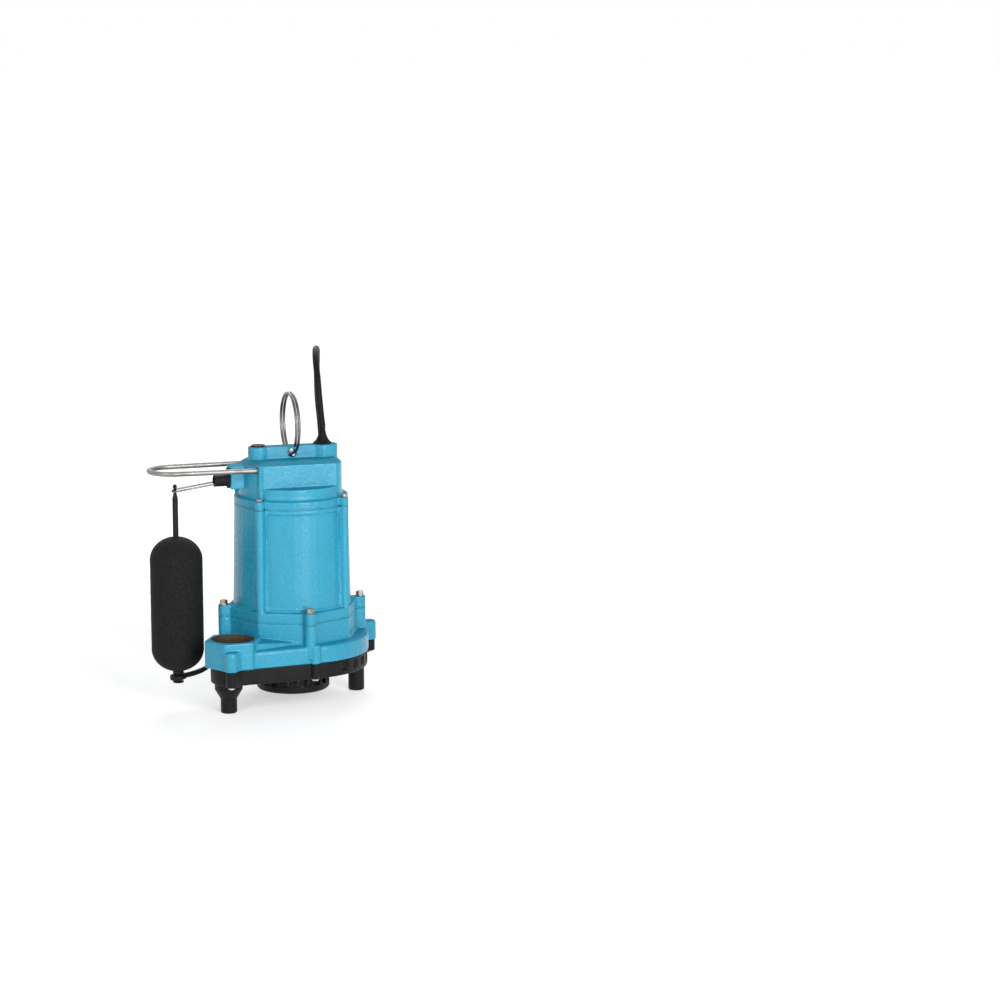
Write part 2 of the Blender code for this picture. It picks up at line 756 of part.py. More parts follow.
def bail_sockets():
    """The holes for the rod's two ends."""
    path = [Vector(point) for point in bail_path()]
    sockets = []
    for end, bend in ((path[0], path[1]), (path[-1], path[-2])):
        way = (end - bend).normalized()
        ends = [end + way * SEAT, end - way * BAIL_SOCKET]
        sockets.append(wire(ends, BAIL_R + SEAT, 10))
    return sockets


def make_top_cover(frame):
    flange = disc(COVER_FLANGE_R, COVER_LOW, COVER_FLANGE_TOP, 40, edge=CAST_EDGE)
    ears = [
        column([(x, y, PILASTER_R), (x * 0.9, y * 0.9, PILASTER_R)], COVER_LOW, SCREW_PAD + SEAT, 14)
        for x, y in SCREW_PLACES
    ]
    drum = skin(
        [
            flat_front(DRUM_R, DRUM_FLAT_Y, COVER_LOW + OVER),
            flat_front(DRUM_R + 0.0040, DRUM_FLAT_Y, COVER_FLANGE_TOP - 0.0005),
            flat_front(DRUM_R + 0.0012, DRUM_FLAT_Y, COVER_FLANGE_TOP + 0.0016),
            flat_front(DRUM_R, DRUM_FLAT_Y, COVER_FLANGE_TOP + 0.0052),
            flat_front(DRUM_R, DRUM_FLAT_Y, DRUM_SHOULDER),
            flat_front(DRUM_R - 0.0011, DRUM_FLAT_Y, DRUM_SHOULDER + 0.0018),
            flat_front(DRUM_TOP_R, DRUM_FLAT_Y + 0.0040, DRUM_TOP),
        ]
    )
    front = FRONT_BOX_Y + FRONT_BOX_CORNER_R
    corners = [
        (x, y, FRONT_BOX_CORNER_R)
        for x in (
            FRONT_BOX_CORNER_R - FRONT_BOX_HALF_WIDE,
            FRONT_BOX_HALF_WIDE - FRONT_BOX_CORNER_R,
        )
        for y in (front, -0.0200)
    ]
    front_box = column(corners, COVER_FLANGE_TOP - OVER, FRONT_BOX_TOP, 16, 0.0014)
    plate = box(
        (-PLATE_HALF_WIDE, FRONT_BOX_Y - PLATE_RAISED, PLATE_LOW),
        (PLATE_HALF_WIDE, front, FRONT_BOX_TOP - 0.0010),
    )
    web = box((-BOSS_X, -WEB_HALF_THICK, DRUM_TOP - OVER), (BOSS_X, WEB_HALF_THICK, TOP_FACE - 0.0004))
    left_boss = column(
        [(-BOSS_X, 0.0, LEFT_BOSS_R)], FRONT_BOX_TOP - OVER, TOP_FACE, 22, CAST_EDGE
    )
    right_boss = column(
        [(BOSS_X, 0.0, RIGHT_BOSS_R), (BOSS_X + 0.0050, 0.0, RIGHT_BOSS_R - 0.001)],
        FRONT_BOX_TOP - OVER,
        TOP_FACE,
        22,
        CAST_EDGE,
    )
    root_x = BLOCK_ROOT - BOSS_X - LEFT_BOSS_R
    block = column(
        [
            (x, y, BLOCK_CORNER_R)
            for x in (BLOCK_LEFT_X + BLOCK_CORNER_R, root_x)
            for y in (BLOCK_CORNER_R - BLOCK_HALF_WIDE, BLOCK_HALF_WIDE - BLOCK_CORNER_R)
        ],
        BLOCK_LOW,
        BLOCK_TOP,
        12,
        CAST_EDGE,
    )
    cavity = skin(
        [
            flat_front(DRUM_BORE_R, FRONT_BOX_Y + 0.0070, height, 24)
            for height in (COVER_LOW - OVER, DRUM_SHOULDER - DRUM_ROOF)
        ]
    )
    pocket = box(
        (POCKET_LEFT_X, -POCKET_HALF_WIDE, POCKET_LOW),
        (POCKET_RIGHT_X, POCKET_HALF_WIDE, POCKET_TOP),
    )
    switch_bore = along_x(disc(SWITCH_BORE_R, -OVER, 0.008, 16), BLOCK_LEFT_X, 0.0, BOOT_Z)
    pin_hole = along_y(
        disc(PIVOT_PIN_R + SEAT, 0.0, PIVOT_PIN_HALF + BLOCK_HALF_WIDE + OVER, 10),
        PIVOT_X,
        -PIVOT_PIN_HALF - SEAT,
        PIVOT_Z,
    )
    plug_hole = disc(PLUG_HOLE_R, TOP_FACE - PLUG_HOLE_DEEP, TOP_FACE + OVER, 16, (-BOSS_X, 0.0))
    gland_hole = disc(GLAND_HOLE_R, TOP_FACE - GLAND_HOLE_DEEP, TOP_FACE + OVER, 16, (BOSS_X, 0.0))
    ring_hole = along_y(disc(RING_HOLE_R, 0.0, 0.040, 18), 0.0, -0.020, RING_HOLE_Z)
    screw_holes = [
        disc(SCREW_R + SEAT, COVER_LOW - OVER, SCREW_PAD + OVER, 8, place)
        for place in SCREW_PLACES
    ]
    screw_seats = [
        disc(SCREW_HEAD_R + 0.0008, SCREW_PAD, SCREW_PAD + 0.008, 12, place)
        for place in SCREW_PLACES
    ]
    make_piece(
        "top_cover",
        flange,
        "blue_paint",
        frame,
        [*ears, drum, front_box, plate, web, left_boss, right_boss, block],
        [cavity, pocket, switch_bore, pin_hole, plug_hole, gland_hole, ring_hole]
        + bail_sockets()
        + screw_holes
        + screw_seats,
    )


def make_cover_fittings(frame):
    plug = turned(
        [
            (0.0, TOP_FACE - PLUG_HOLE_DEEP + 0.001),
            (PLUG_HOLE_R - SEAT, TOP_FACE - PLUG_HOLE_DEEP + 0.001),
            (PLUG_HOLE_R - SEAT, TOP_FACE + SEAT),
            (0.0086, TOP_FACE + SEAT),
            (0.0086, TOP_FACE + 0.0012),
            (0.0079, TOP_FACE + 0.0018),
            (0.0, TOP_FACE + 0.0018),
        ],
        16,
        False,
        (-BOSS_X, 0.0),
    )
    make_piece("cover_plug", plug, "black_moulding", frame)
    gland = turned(
        [
            (0.0, TOP_FACE - GLAND_HOLE_DEEP + SEAT),
            (GLAND_HOLE_R - SEAT, TOP_FACE - GLAND_HOLE_DEEP + SEAT),
            (GLAND_HOLE_R - SEAT, TOP_FACE + SEAT),
            (GLAND_BASE_R, TOP_FACE + SEAT),
            (GLAND_BASE_R, TOP_FACE + 0.0018),
            (0.0088, TOP_FACE + 0.0040),
            (0.0066, TOP_FACE + 0.0066),
            (0.0052, TOP_FACE + 0.0100),
            (0.0045, GLAND_TOP - 0.0010),
            (0.0041, GLAND_TOP),
            (0.0, GLAND_TOP),
        ],
        16,
        False,
        (BOSS_X, 0.0),
    )
    make_piece("cord_strain_relief", gland, "black_rubber", frame)


def make_lifting_ring(frame):
    """One wire in almost two turns. It steps across where its two ends meet."""
    mean_r = RING_OUTER_R - RING_WIRE_R
    step = RING_WIRE_R + RING_STRAND_GAP / 2
    drop = math.sqrt((RING_HOLE_R - SEAT - RING_WIRE_R) ** 2 - step**2)
    centre_z = RING_HOLE_Z - drop + mean_r
    first, cross, per_turn = RING_SPLIT_AT, 1.0 / 9.0, 30
    path = []
    for i in range(2 * per_turn - round(cross * per_turn) + 1):
        turn = i / per_turn
        share = min(max((turn - 1.0 + cross) / cross, 0.0), 1.0)
        across = step * (1.0 - 2.0 * share * share * (3.0 - 2.0 * share))
        angle = first - 2.0 * math.pi * turn
        path.append((across, mean_r * math.cos(angle), centre_z + mean_r * math.sin(angle)))
    hinge = make_empty("ring_hinge", (0.0, 0.0, RING_HOLE_Z), frame)
    make_piece("lifting_ring", wire(path, RING_WIRE_R, 6), "steel", hinge, smooth=65.0)


def make_guard_bail(frame):
    make_piece("guard_bail", wire(bail_path(), BAIL_R, 10), "steel", frame, smooth=60.0)


# --- float switch ---


def make_switch(frame, arm_hinge):
    long = BLOCK_LEFT_X - SEAT - BOOT_END_X
    sleeve = turned(
        [
            (0.0, long - 0.0005),
            (BOOT_R, long - 0.0005),
            (BOOT_R, 0.0005),
            (BOOT_R - 0.0004, 0.0),
            (0.0, 0.0),
        ],
        20,
    )
    rounds = [(-BOOT_FLANGE_LOW, 0.0, BOOT_FLANGE_R), (-BOOT_FLANGE_HIGH, 0.0, BOOT_FLANGE_R)]
    flange = column(rounds, long - BOOT_FLANGE_THICK, long, 20)
    bore = disc(BOOT_R - BOOT_WALL, -OVER, long + OVER, 20)
    for solid in (sleeve, flange, bore):
        along_x(solid, BOOT_END_X, 0.0, BOOT_Z)
    make_piece("switch_boot", sleeve, "black_rubber", frame, [flange], [bore])

    half = PIVOT_PIN_HALF
    pin = along_y(disc(PIVOT_PIN_R, 0.0, 2 * half, 10), PIVOT_X, -half, PIVOT_Z)
    make_piece("switch_pivot_pin", pin, "steel", frame)

    legs_y = ROD_NECK_R + 0.0004 + ARM_WIRE_R
    way = (Vector((EYE_X, 0, EYE_Z)) - Vector((PIVOT_X, 0, PIVOT_Z))).normalized()
    hub_end = Vector((PIVOT_X, 0, PIVOT_Z)) + way * (HUB_R - 0.0012)
    across = Matrix.Rotation(ARM_ROLL, 3, way) @ Vector((0, -1, 0))
    side = -across * legs_y
    eye = arc((EYE_X, 0, EYE_Z), across, way, legs_y, 0.0, math.pi, 10)
    hairpin = wire([hub_end - side, *eye, hub_end + side], ARM_WIRE_R, 6)
    hub_half = POCKET_HALF_WIDE - 0.0010
    hub = along_y(disc(HUB_R, 0.0, 2 * hub_half, 16), PIVOT_X, -hub_half, PIVOT_Z)
    finger = box(
        (PIVOT_X - FINGER_HALF_THICK, -0.0030, PIVOT_Z + 0.001),
        (PIVOT_X + FINGER_HALF_THICK, 0.0030, PIVOT_Z + FINGER_HIGH),
    )
    bore = along_y(disc(PIVOT_PIN_R + SEAT, 0.0, 0.02, 12), PIVOT_X, -0.01, PIVOT_Z)
    make_piece("float_arm", hub, "steel", arm_hinge, [hairpin, finger], [bore], smooth=50.0)

    plunger_x = PIVOT_X + FINGER_HALF_THICK + SEAT
    plunger_z = PIVOT_Z + PLUNGER_RISE
    body_left = plunger_x + PLUNGER_STROKE + 0.0004
    body_right = body_left + SWITCH_LONG
    body = box(
        (body_left, -POCKET_HALF_WIDE + SEAT, plunger_z - 0.0140),
        (body_right, POCKET_HALF_WIDE - SEAT, plunger_z + 0.0048),
    )
    hole = along_x(disc(PLUNGER_R + SEAT, -OVER, 0.0080, 12), body_left, 0.0, plunger_z)
    lugs = []
    for y in (-LUGS_APART / 2, LUGS_APART / 2):
        z = plunger_z - LUG_DROP
        low = (body_right - OVER, y - LUG_HALF_THICK, z - LUG_HALF_HIGH)
        lugs.append(box(low, (body_right + LUG_LONG, y + LUG_HALF_THICK, z + LUG_HALF_HIGH)))
    make_piece("snap_switch", body, "black_moulding", frame, lugs, [hole])
    button = along_x(disc(PLUNGER_R, 0.0, 0.0080, 12), plunger_x, 0.0, plunger_z)
    make_piece("switch_plunger", button, "white_moulding", frame)


def make_float(float_hinge):
    place = (EYE_X, 0.0)
    tip_low = EYE_Z + ROD_NECK_HALF
    neck_low = EYE_Z - ROD_NECK_HALF
    rod = turned(
        [
            (0.0, ROD_HEAD_LOW),
            (ROD_HEAD_R, ROD_HEAD_LOW),
            (ROD_HEAD_R, ROD_HEAD_LOW + ROD_HEAD_THICK),
            (ROD_INNER_R, ROD_HEAD_LOW + ROD_HEAD_THICK),
            (ROD_INNER_R, FLOAT_TOP + SEAT),
            (ROD_R, FLOAT_TOP + SEAT),
            (ROD_R, neck_low - 0.006),
            (ROD_NECK_R, neck_low),
            (ROD_NECK_R, tip_low),
            (ROD_TIP_R, tip_low + 0.0010),
            (ROD_TIP_R * 0.85, tip_low + ROD_TIP_HIGH * 0.7),
            (0.0, tip_low + ROD_TIP_HIGH),
        ],
        14,
        False,
        place,
    )
    make_piece("float_rod", rod, "black_rubber", float_hinge)

    bore = ROD_INNER_R + SEAT
    rings = 6
    low_dome = []
    for i in range(rings):
        angle = math.asin(bore / FLOAT_R) + (math.pi / 2 - math.asin(bore / FLOAT_R)) * i / (rings - 1)
        low_dome.append((FLOAT_R * math.sin(angle), FLOAT_DOME * (1.0 - math.cos(angle))))
    profile = [(r, FLOAT_LOW + h) for r, h in low_dome]
    profile += [(r, FLOAT_TOP - h) for r, h in reversed(low_dome)]
    make_piece("float_body", turned(profile, 28, True, place), "float_skin", float_hinge, smooth=50.0)
    retainer = tube(bore, RETAINER_R, FLOAT_LOW - SEAT - RETAINER_THICK, FLOAT_LOW - SEAT, 16, place)
    make_piece("float_retainer", retainer, "black_moulding", float_hinge)


def make_tether(tether_hinge):
    """A moulded strap: an eye round the rod's foot, and a barrel on the base's pin."""
    half_thick, half_wide = TETHER_THICK / 2, TETHER_WIDE / 2
    barrel_half = half_wide
    tilt = Matrix.Rotation(-TETHER_TILT, 4, "Y")
    to_eye = Matrix.Translation((EYE_X, 0.0, TETHER_EYE_Z))
    eye = disc(TETHER_EYE_R, -half_thick, half_thick, 20, edge=0.0006)
    moved(eye, tilt, to_eye)
    hole = moved(disc(TETHER_HOLE_R, -0.01, 0.01, 16), tilt, to_eye)
    outwards = Vector((math.cos(TETHER_TILT), 0, math.sin(TETHER_TILT)))
    start = Vector((EYE_X, 0, TETHER_EYE_Z)) + outwards * (TETHER_HOLE_R + 0.0015)
    end = Vector((ANCHOR_X, 0, ANCHOR_Z))
    bow = Vector((0.5 * (start.x + end.x) + 0.006, 0, 0.5 * (start.z + end.z) - 0.0035))
    rings = []
    for i in range(7):
        t = i / 6
        middle = start * (1 - t) ** 2 + bow * 2 * t * (1 - t) + end * t * t
        way = ((bow - start) * (1 - t) + (end - bow) * t).normalized()
        up = Vector((-way.z, 0, way.x))
        rings.append(
            [
                middle + up * (half_thick * v) + Vector((0, half_wide * w, 0))
                for v, w in TETHER_SECTION
            ]
        )
    strap = skin(rings)
    barrel = along_y(disc(ANCHOR_BARREL_R, 0.0, 2 * barrel_half, 16), ANCHOR_X, -barrel_half, ANCHOR_Z)
    bore = along_y(disc(ANCHOR_PIN_R + SEAT, 0.0, 0.02, 12), ANCHOR_X, -0.01, ANCHOR_Z)
    make_piece("float_tether", barrel, "black_rubber", tether_hinge, [strap, eye], [hole, bore])


# --- volute ---


def volute_circles():
    """Circles whose hull is the casing's plan: the scroll, and the way out to the port."""
    scroll = (VOLUTE_GROWTH_X, -VOLUTE_GROWTH_Y, VOLUTE_MEAN_R)
    return [scroll, (PORT_X, PORT_Y, PORT_WAY_R)]


def port_corners():
    """The six rounded corners of the port's hexagon."""
    reach = PORT_HEX_FLATS / 2 / math.cos(math.pi / 6) - PORT_HEX_CORNER_R * 1.15
    return [
        (*around((PORT_X, PORT_Y), reach, i * math.pi / 3), PORT_HEX_CORNER_R)
        for i in range(6)
    ]


def outline_solid(circles, steps, levels):
    """A solid on one hull outline, from (height, inset) levels."""
    return skin([[(*p, z) for p in hull(circles, steps, inset)] for z, inset in levels])


def column_circles(name, inset=0.0):
    """A screw column and its web to the casing."""
    x, y, radius = SCREW_COLUMNS[name][:3]
    return [(x, y, radius - inset), (x * 0.82, y * 0.82, radius - inset)]


def make_volute(frame):
    case = outline_solid(
        volute_circles(),
        48,
        (
            (VOLUTE_LOW, 0.0),
            (RIM_TOP - RIM_EDGE, 0.0),
            (RIM_TOP - RIM_EDGE * 0.3, RIM_EDGE * 0.3),
            (RIM_TOP, RIM_EDGE),
        ),
    )
    neck = outline_solid(
        FLANGE_CIRCLES,
        32,
        (
            (VOLUTE_LOW + 0.0100, -0.0020),
            (RIM_TOP + 0.0004, -0.0020),
            (RIM_TOP + 0.0030, 0.0),
            (VOLUTE_TOP, 0.0),
        ),
    )
    port = column(port_corners(), VOLUTE_LOW, PORT_TOP, 24, CAST_EDGE)
    ramp = ramp_to_port()
    screw_columns = [
        outline_solid(
            column_circles(name),
            14,
            (
                (VOLUTE_LOW, 0.0),
                (top - COLUMN_EDGE, 0.0),
                (top - COLUMN_EDGE * 0.3, COLUMN_EDGE * 0.3),
                (top, COLUMN_EDGE),
            ),
        )
        for name, (_, _, _, top, _) in SCREW_COLUMNS.items()
    ]
    bolt_columns = []
    for x, y in BOLT_PLACES:
        rounds = [(x, y, BOLT_BOSS_R), (x * 0.85, y * 0.85, BOLT_BOSS_R)]
        bolt_columns.append(column(rounds, VOLUTE_LOW + BOLT_COLUMN_LIFT, VOLUTE_TOP, 14))
    chamber = disc(CHAMBER_R, VOLUTE_LOW - OVER, CHAMBER_TOP, 28)
    passage = column(
        [(PORT_X, PORT_Y, 0.0205), (-0.030, -0.040, 0.0240)], PORT_FLOOR, CHAMBER_TOP - 0.0015, 20
    )
    thread_low = PORT_TOP - 0.0180
    port_bore = turned(
        [
            (0.0, PORT_FLOOR),
            (PORT_R - 0.0020, PORT_FLOOR),
            (PORT_R - 0.0020, thread_low),
            (PORT_R, thread_low + 0.0020),
            (PORT_R, PORT_TOP - 0.0010),
            (PORT_R + 0.0012, PORT_TOP + 0.0002),
            (PORT_R + 0.0012, PORT_TOP + OVER),
            (0.0, PORT_TOP + OVER),
        ],
        28,
        False,
        (PORT_X, PORT_Y),
    )
    neck_bore = disc(NECK_BORE_R, CHAMBER_TOP - OVER, VOLUTE_TOP + OVER, 24)
    bolt_foot = BOSS_TOP + SEAT - BOLT_LONG
    bolt_holes = [
        disc(BOLT_R + SEAT, bolt_foot - SEAT, VOLUTE_TOP + OVER, 10, place)
        for place in BOLT_PLACES
    ]
    screw_holes = [
        disc(BASE_SCREW_R + SEAT, VOLUTE_LOW - OVER, foot + BASE_SCREW_LONG, 8, (x, y))
        for x, y, _, _, foot in SCREW_COLUMNS.values()
    ]
    make_piece(
        "volute",
        case,
        "blue_paint",
        frame,
        [neck, port, ramp, *screw_columns, *bolt_columns],
        [chamber, passage, port_bore, neck_bore, *bolt_holes, *screw_holes],
    )


def ramp_to_port():
    """The raised way from the scroll up to the port: sloping sides, and a falling top."""
    foot = hull([(PORT_X, PORT_Y, RAMP_FOOT_R), (*RAMP_FAR, 0.0200)], 24)
    crest = hull([(PORT_X, PORT_Y, RAMP_CREST_R), (*RAMP_FAR, 0.0110)], 24)
    top = []
    for x, y in crest:
        share = min(max((x - PORT_X) / (RAMP_FAR[0] - PORT_X), 0.0), 1.2)
        top.append((x, y, PORT_TOP - 0.0012 - RAMP_FALL * share))
    rings = [[(*p, z) for p in foot] for z in (RIM_TOP - 0.0100, RIM_TOP - 0.0016)]
    return skin([*rings, top])


# --- base ---

BASE_TOP = VOLUTE_LOW - SEAT


def leg(x, y, flare_r, flare_low):
    return turned(
        [
            (0.0, 0.0),
            (LEG_FOOT_R - 0.0008, 0.0),
            (LEG_FOOT_R, 0.0010),
            (LEG_FOOT_R, flare_low),
            (flare_r, flare_low + LEG_FLARE_HIGH),
            (flare_r, BASE_TOP - 0.002),
            (0.0, BASE_TOP - 0.002),
        ],
        16,
        False,
        (x, y),
    )


def make_base(frame):
    case = outline_solid(
        volute_circles(),
        48,
        ((SKIRT_LOW, BASE_INSET + 0.0014), (SKIRT_LOW + 0.0014, BASE_INSET), (BASE_TOP, BASE_INSET)),
    )
    columns = [
        column(column_circles(name, BASE_INSET), spec[4] - SPOT_FACE, BASE_TOP, 14)
        for name, spec in SCREW_COLUMNS.items()
    ]
    legs = [leg(*spec) for spec in LEGS.values()]
    ears_y = TETHER_WIDE / 2 + SEAT
    ears = []
    for side in (-1, 1):
        rounds = [(ANCHOR_X, ANCHOR_Z, EAR_R), (ANCHOR_X + 0.0220, ANCHOR_Z - 0.0010, EAR_R)]
        ear = column(rounds, 0.0, EAR_THICK, 14)
        moved(
            ear,
            Matrix.Rotation(math.pi / 2, 4, "X"),
            Matrix.Translation((0.0, side * (ears_y + EAR_THICK / 2) + EAR_THICK / 2, 0.0)),
        )
        ears.append(ear)
    roof = BASE_TOP - BASE_PLATE_THICK
    strainer_room = disc(STRAINER_R + 0.0008, SKIRT_LOW - 2 * OVER, roof, 28)
    inlet = disc(INLET_R, SKIRT_LOW, BASE_TOP + OVER, 24)
    screw_holes = [
        disc(BASE_SCREW_R + SEAT, foot - OVER, BASE_TOP + OVER, 8, (x, y))
        for x, y, _, _, foot in SCREW_COLUMNS.values()
    ]
    spot_faces = [
        disc(BASE_SCREW_HEAD_R + SPOT_FACE, SKIRT_LOW - 2 * OVER, foot, 12, (x, y))
        for x, y, _, _, foot in SCREW_COLUMNS.values()
    ]
    pin_hole = along_y(disc(ANCHOR_PIN_R + SEAT, 0.0, 0.03, 12), ANCHOR_X, -0.015, ANCHOR_Z)
    pockets = [wall_pocket(math.radians(angle)) for angle in POCKET_ANGLES]
    make_piece(
        "base",
        case,
        "black_moulding",
        frame,
        [*columns, *legs, *ears],
        [hollow_of_base(roof), strainer_room, inlet, *screw_holes, *spot_faces, pin_hole, *pockets],
    )
    pin_half = ears_y + EAR_THICK - SEAT
    pin = along_y(disc(ANCHOR_PIN_R, 0.0, 2 * pin_half, 10), ANCHOR_X, -pin_half, ANCHOR_Z)
    make_piece("tether_pin", pin, "steel", frame)


def hollow_of_base(roof):
    """What is cored out of the base: all but its columns, legs, ribs and ears' root."""
    wall = BASE_INSET + SKIRT_WALL
    levels = ((SKIRT_LOW - OVER, wall), (roof, wall))
    body = object_from("hollow", outline_solid(volute_circles(), 40, levels))
    low = SKIRT_LOW - 2 * OVER
    keep = [
        column(column_circles(name, BASE_INSET - COLLAR), low, BASE_TOP, 14)
        for name in SCREW_COLUMNS
    ]
    keep += [
        disc(flare_r + COLLAR, low, BASE_TOP, 16, (x, y)) for x, y, flare_r, _ in LEGS.values()
    ]
    for degrees in RIB_ANGLES:
        rib = box((STRAINER_R, -RIB_HALF_THICK, low), (2 * VOLUTE_MEAN_R, RIB_HALF_THICK, BASE_TOP))
        keep.append(moved(rib, Matrix.Rotation(math.radians(degrees), 4, "Z")))
    cut(body, *keep)
    made = bmesh.new()
    made.from_mesh(body.data)
    bpy.data.objects.remove(body, do_unlink=True)
    return made


def wall_pocket(angle):
    """A moulded pocket in the outside of the skirt."""
    outer = VOLUTE_MEAN_R + VOLUTE_GROWTH_X * math.cos(angle) - BASE_INSET
    low, high = SKIRT_LOW + 0.0060, BASE_TOP - 0.0030
    pocket = box((outer - 0.0020, -0.0048, low), (outer + 0.01, 0.0048, high))
    return moved(pocket, Matrix.Rotation(angle, 4, "Z"))


def make_strainer(frame):
    top = BASE_TOP - BASE_PLATE_THICK - SEAT
    cup = turned(
        [
            (0.0, STRAINER_LOW),
            (STRAINER_R - 0.0020, STRAINER_LOW),
            (STRAINER_R, STRAINER_LOW + 0.0020),
            (STRAINER_R, top),
            (STRAINER_R - STRAINER_WALL, top),
            (STRAINER_R - STRAINER_WALL, STRAINER_LOW + STRAINER_FLOOR),
            (0.0, STRAINER_LOW + STRAINER_FLOOR),
        ],
        24,
    )
    slots = []
    for i in range(STRAINER_SLOTS):
        low = (STRAINER_R - STRAINER_WALL - 2 * OVER, -SLOT_WIDE / 2, SLOT_LOW)
        slot = box(low, (STRAINER_R + 2 * OVER, SLOT_WIDE / 2, SLOT_TOP))
        slots.append(moved(slot, Matrix.Rotation(2 * math.pi * (i + 0.5) / STRAINER_SLOTS, 4, "Z")))
    make_piece("strainer", cup, "black_moulding", frame, holes=slots)


# --- inside ---


def make_motor(frame, spin):
    shaft = turned(
        [
            (0.0, IMPELLER_DISC_LOW + SEAT),
            (SHAFT_END_R, IMPELLER_DISC_LOW + SEAT),
            (SHAFT_END_R, IMPELLER_DISC_LOW + SHAFT_END_LONG),
            (SHAFT_R, IMPELLER_DISC_LOW + SHAFT_END_LONG),
            (SHAFT_R, SHAFT_TOP),
            (0.0, SHAFT_TOP),
        ],
        20,
    )
    make_piece("motor_shaft", shaft, "steel", spin)
    rotor = tube(SHAFT_R + SEAT, ROTOR_R, ROTOR_LOW, ROTOR_TOP, 20)
    make_piece("rotor", rotor, "lamination", spin)
    hub_top = IMPELLER_DISC_LOW + SHAFT_END_LONG - SEAT
    wheel = turned(
        [
            (0.0, IMPELLER_VANE_LOW + IMPELLER_NOSE),
            (IMPELLER_HUB_R * 0.7, IMPELLER_VANE_LOW + IMPELLER_NOSE),
            (IMPELLER_HUB_R, IMPELLER_DISC_LOW),
            (IMPELLER_R, IMPELLER_DISC_LOW),
            (IMPELLER_R, IMPELLER_DISC_LOW + IMPELLER_DISC_THICK),
            (IMPELLER_HUB_R, IMPELLER_DISC_LOW + IMPELLER_DISC_THICK + IMPELLER_DISH),
            (IMPELLER_HUB_R * 0.9, hub_top),
            (0.0, hub_top),
        ],
        24,
    )
    vanes = [impeller_vane(2 * math.pi * i / IMPELLER_VANES) for i in range(IMPELLER_VANES)]
    bore = disc(SHAFT_END_R + SEAT, IMPELLER_DISC_LOW, hub_top + OVER, 16)
    make_piece("impeller", wheel, "black_moulding", spin, vanes, [bore])

    stator = tube(ROTOR_R + RUN, BARREL_BORE_R - SEAT, STATOR_LOW, STATOR_TOP, 28)
    make_piece("stator", stator, "lamination", frame)
    make_piece("lower_winding", winding(STATOR_LOW - SEAT - WINDING_HIGH), "copper", frame)
    make_piece("upper_winding", winding(STATOR_TOP + SEAT), "copper", frame)
    cup_low = BRACKET_LOW - BRACKET_CUP
    bearing = tube(SHAFT_R + SEAT, UPPER_BEARING_R, cup_low, cup_low + BEARING_HIGH, 16)
    make_piece("upper_bearing", bearing, "bearing_steel", frame)
    plate = turned(
        [
            (UPPER_BEARING_R + SEAT, cup_low),
            (UPPER_BEARING_R + 0.004, cup_low),
            (UPPER_BEARING_R + 0.006, BRACKET_LOW),
            (BARREL_BORE_R + BRACKET_LEDGE - SEAT, BRACKET_LOW),
            (BARREL_BORE_R + BRACKET_LEDGE - SEAT, BRACKET_LOW + BRACKET_THICK),
            (UPPER_BEARING_R + SEAT, BRACKET_LOW + BRACKET_THICK),
        ],
        28,
        True,
    )
    vents = [
        disc(VENT_R, BRACKET_LOW - OVER, BRACKET_LOW + 2 * BRACKET_THICK, 6, place)
        for place in quarter_places(VENTS_AT, 0.0)
    ]
    make_piece("bearing_bracket", plate, "lamination", frame, holes=vents)
    low = FLOOR_TOP - BEARING_HIGH + SEAT
    bearing = tube(SHAFT_R + SEAT, LOWER_BEARING_R, low, low + BEARING_HIGH - SEAT, 16)
    make_piece("lower_bearing", bearing, "bearing_steel", frame)
    seat = tube(SHAFT_R + RUN, SEAL_SEAT_R, seal_seat_low(), seal_seat_low() + SEAL_SEAT_HIGH, 16)
    make_piece("seal_seat", seat, "ceramic", frame)
    head_low = hub_top + SEAT
    head = tube(SHAFT_R + SEAT, SEAL_HEAD_R, head_low, seal_seat_low() - SEAT, 16)
    make_piece("seal_head", head, "black_rubber", spin)


def impeller_vane(angle):
    """A swept-back vane on the underside of the disc."""
    centre = Vector((*VANE_CENTRE, 0.0))
    low, high = IMPELLER_VANE_LOW, IMPELLER_DISC_LOW + IMPELLER_DISC_THICK / 4
    rings = []
    for point in arc(centre, (1, 0, 0), (0, 1, 0), VANE_ARC_R, 0.62 * math.pi, 0.16 * math.pi, 3):
        out = (point - centre).normalized() * VANE_HALF_THICK
        corners = ((-1, low), (1, low), (1, high), (-1, high))
        rings.append([(*(point + out * side).xy, z) for side, z in corners])
    return moved(skin(rings), Matrix.Rotation(angle, 4, "Z"))


def winding(low):
    """The end turns of the stator: a rounded ring."""
    middle_r = (ROTOR_R + RUN + BARREL_BORE_R - SEAT) / 2 + WINDING_OUTWARDS
    half_wide, half_high = WINDING_HALF_WIDE, WINDING_HIGH / 2
    profile = []
    for i in range(WINDING_SIDES):
        angle = 2.0 * math.pi * (i + 0.5) / WINDING_SIDES
        profile.append(
            (middle_r + half_wide * math.cos(angle), low + half_high + half_high * math.sin(angle))
        )
    return turned(profile, 18, True)


# --- cord ---


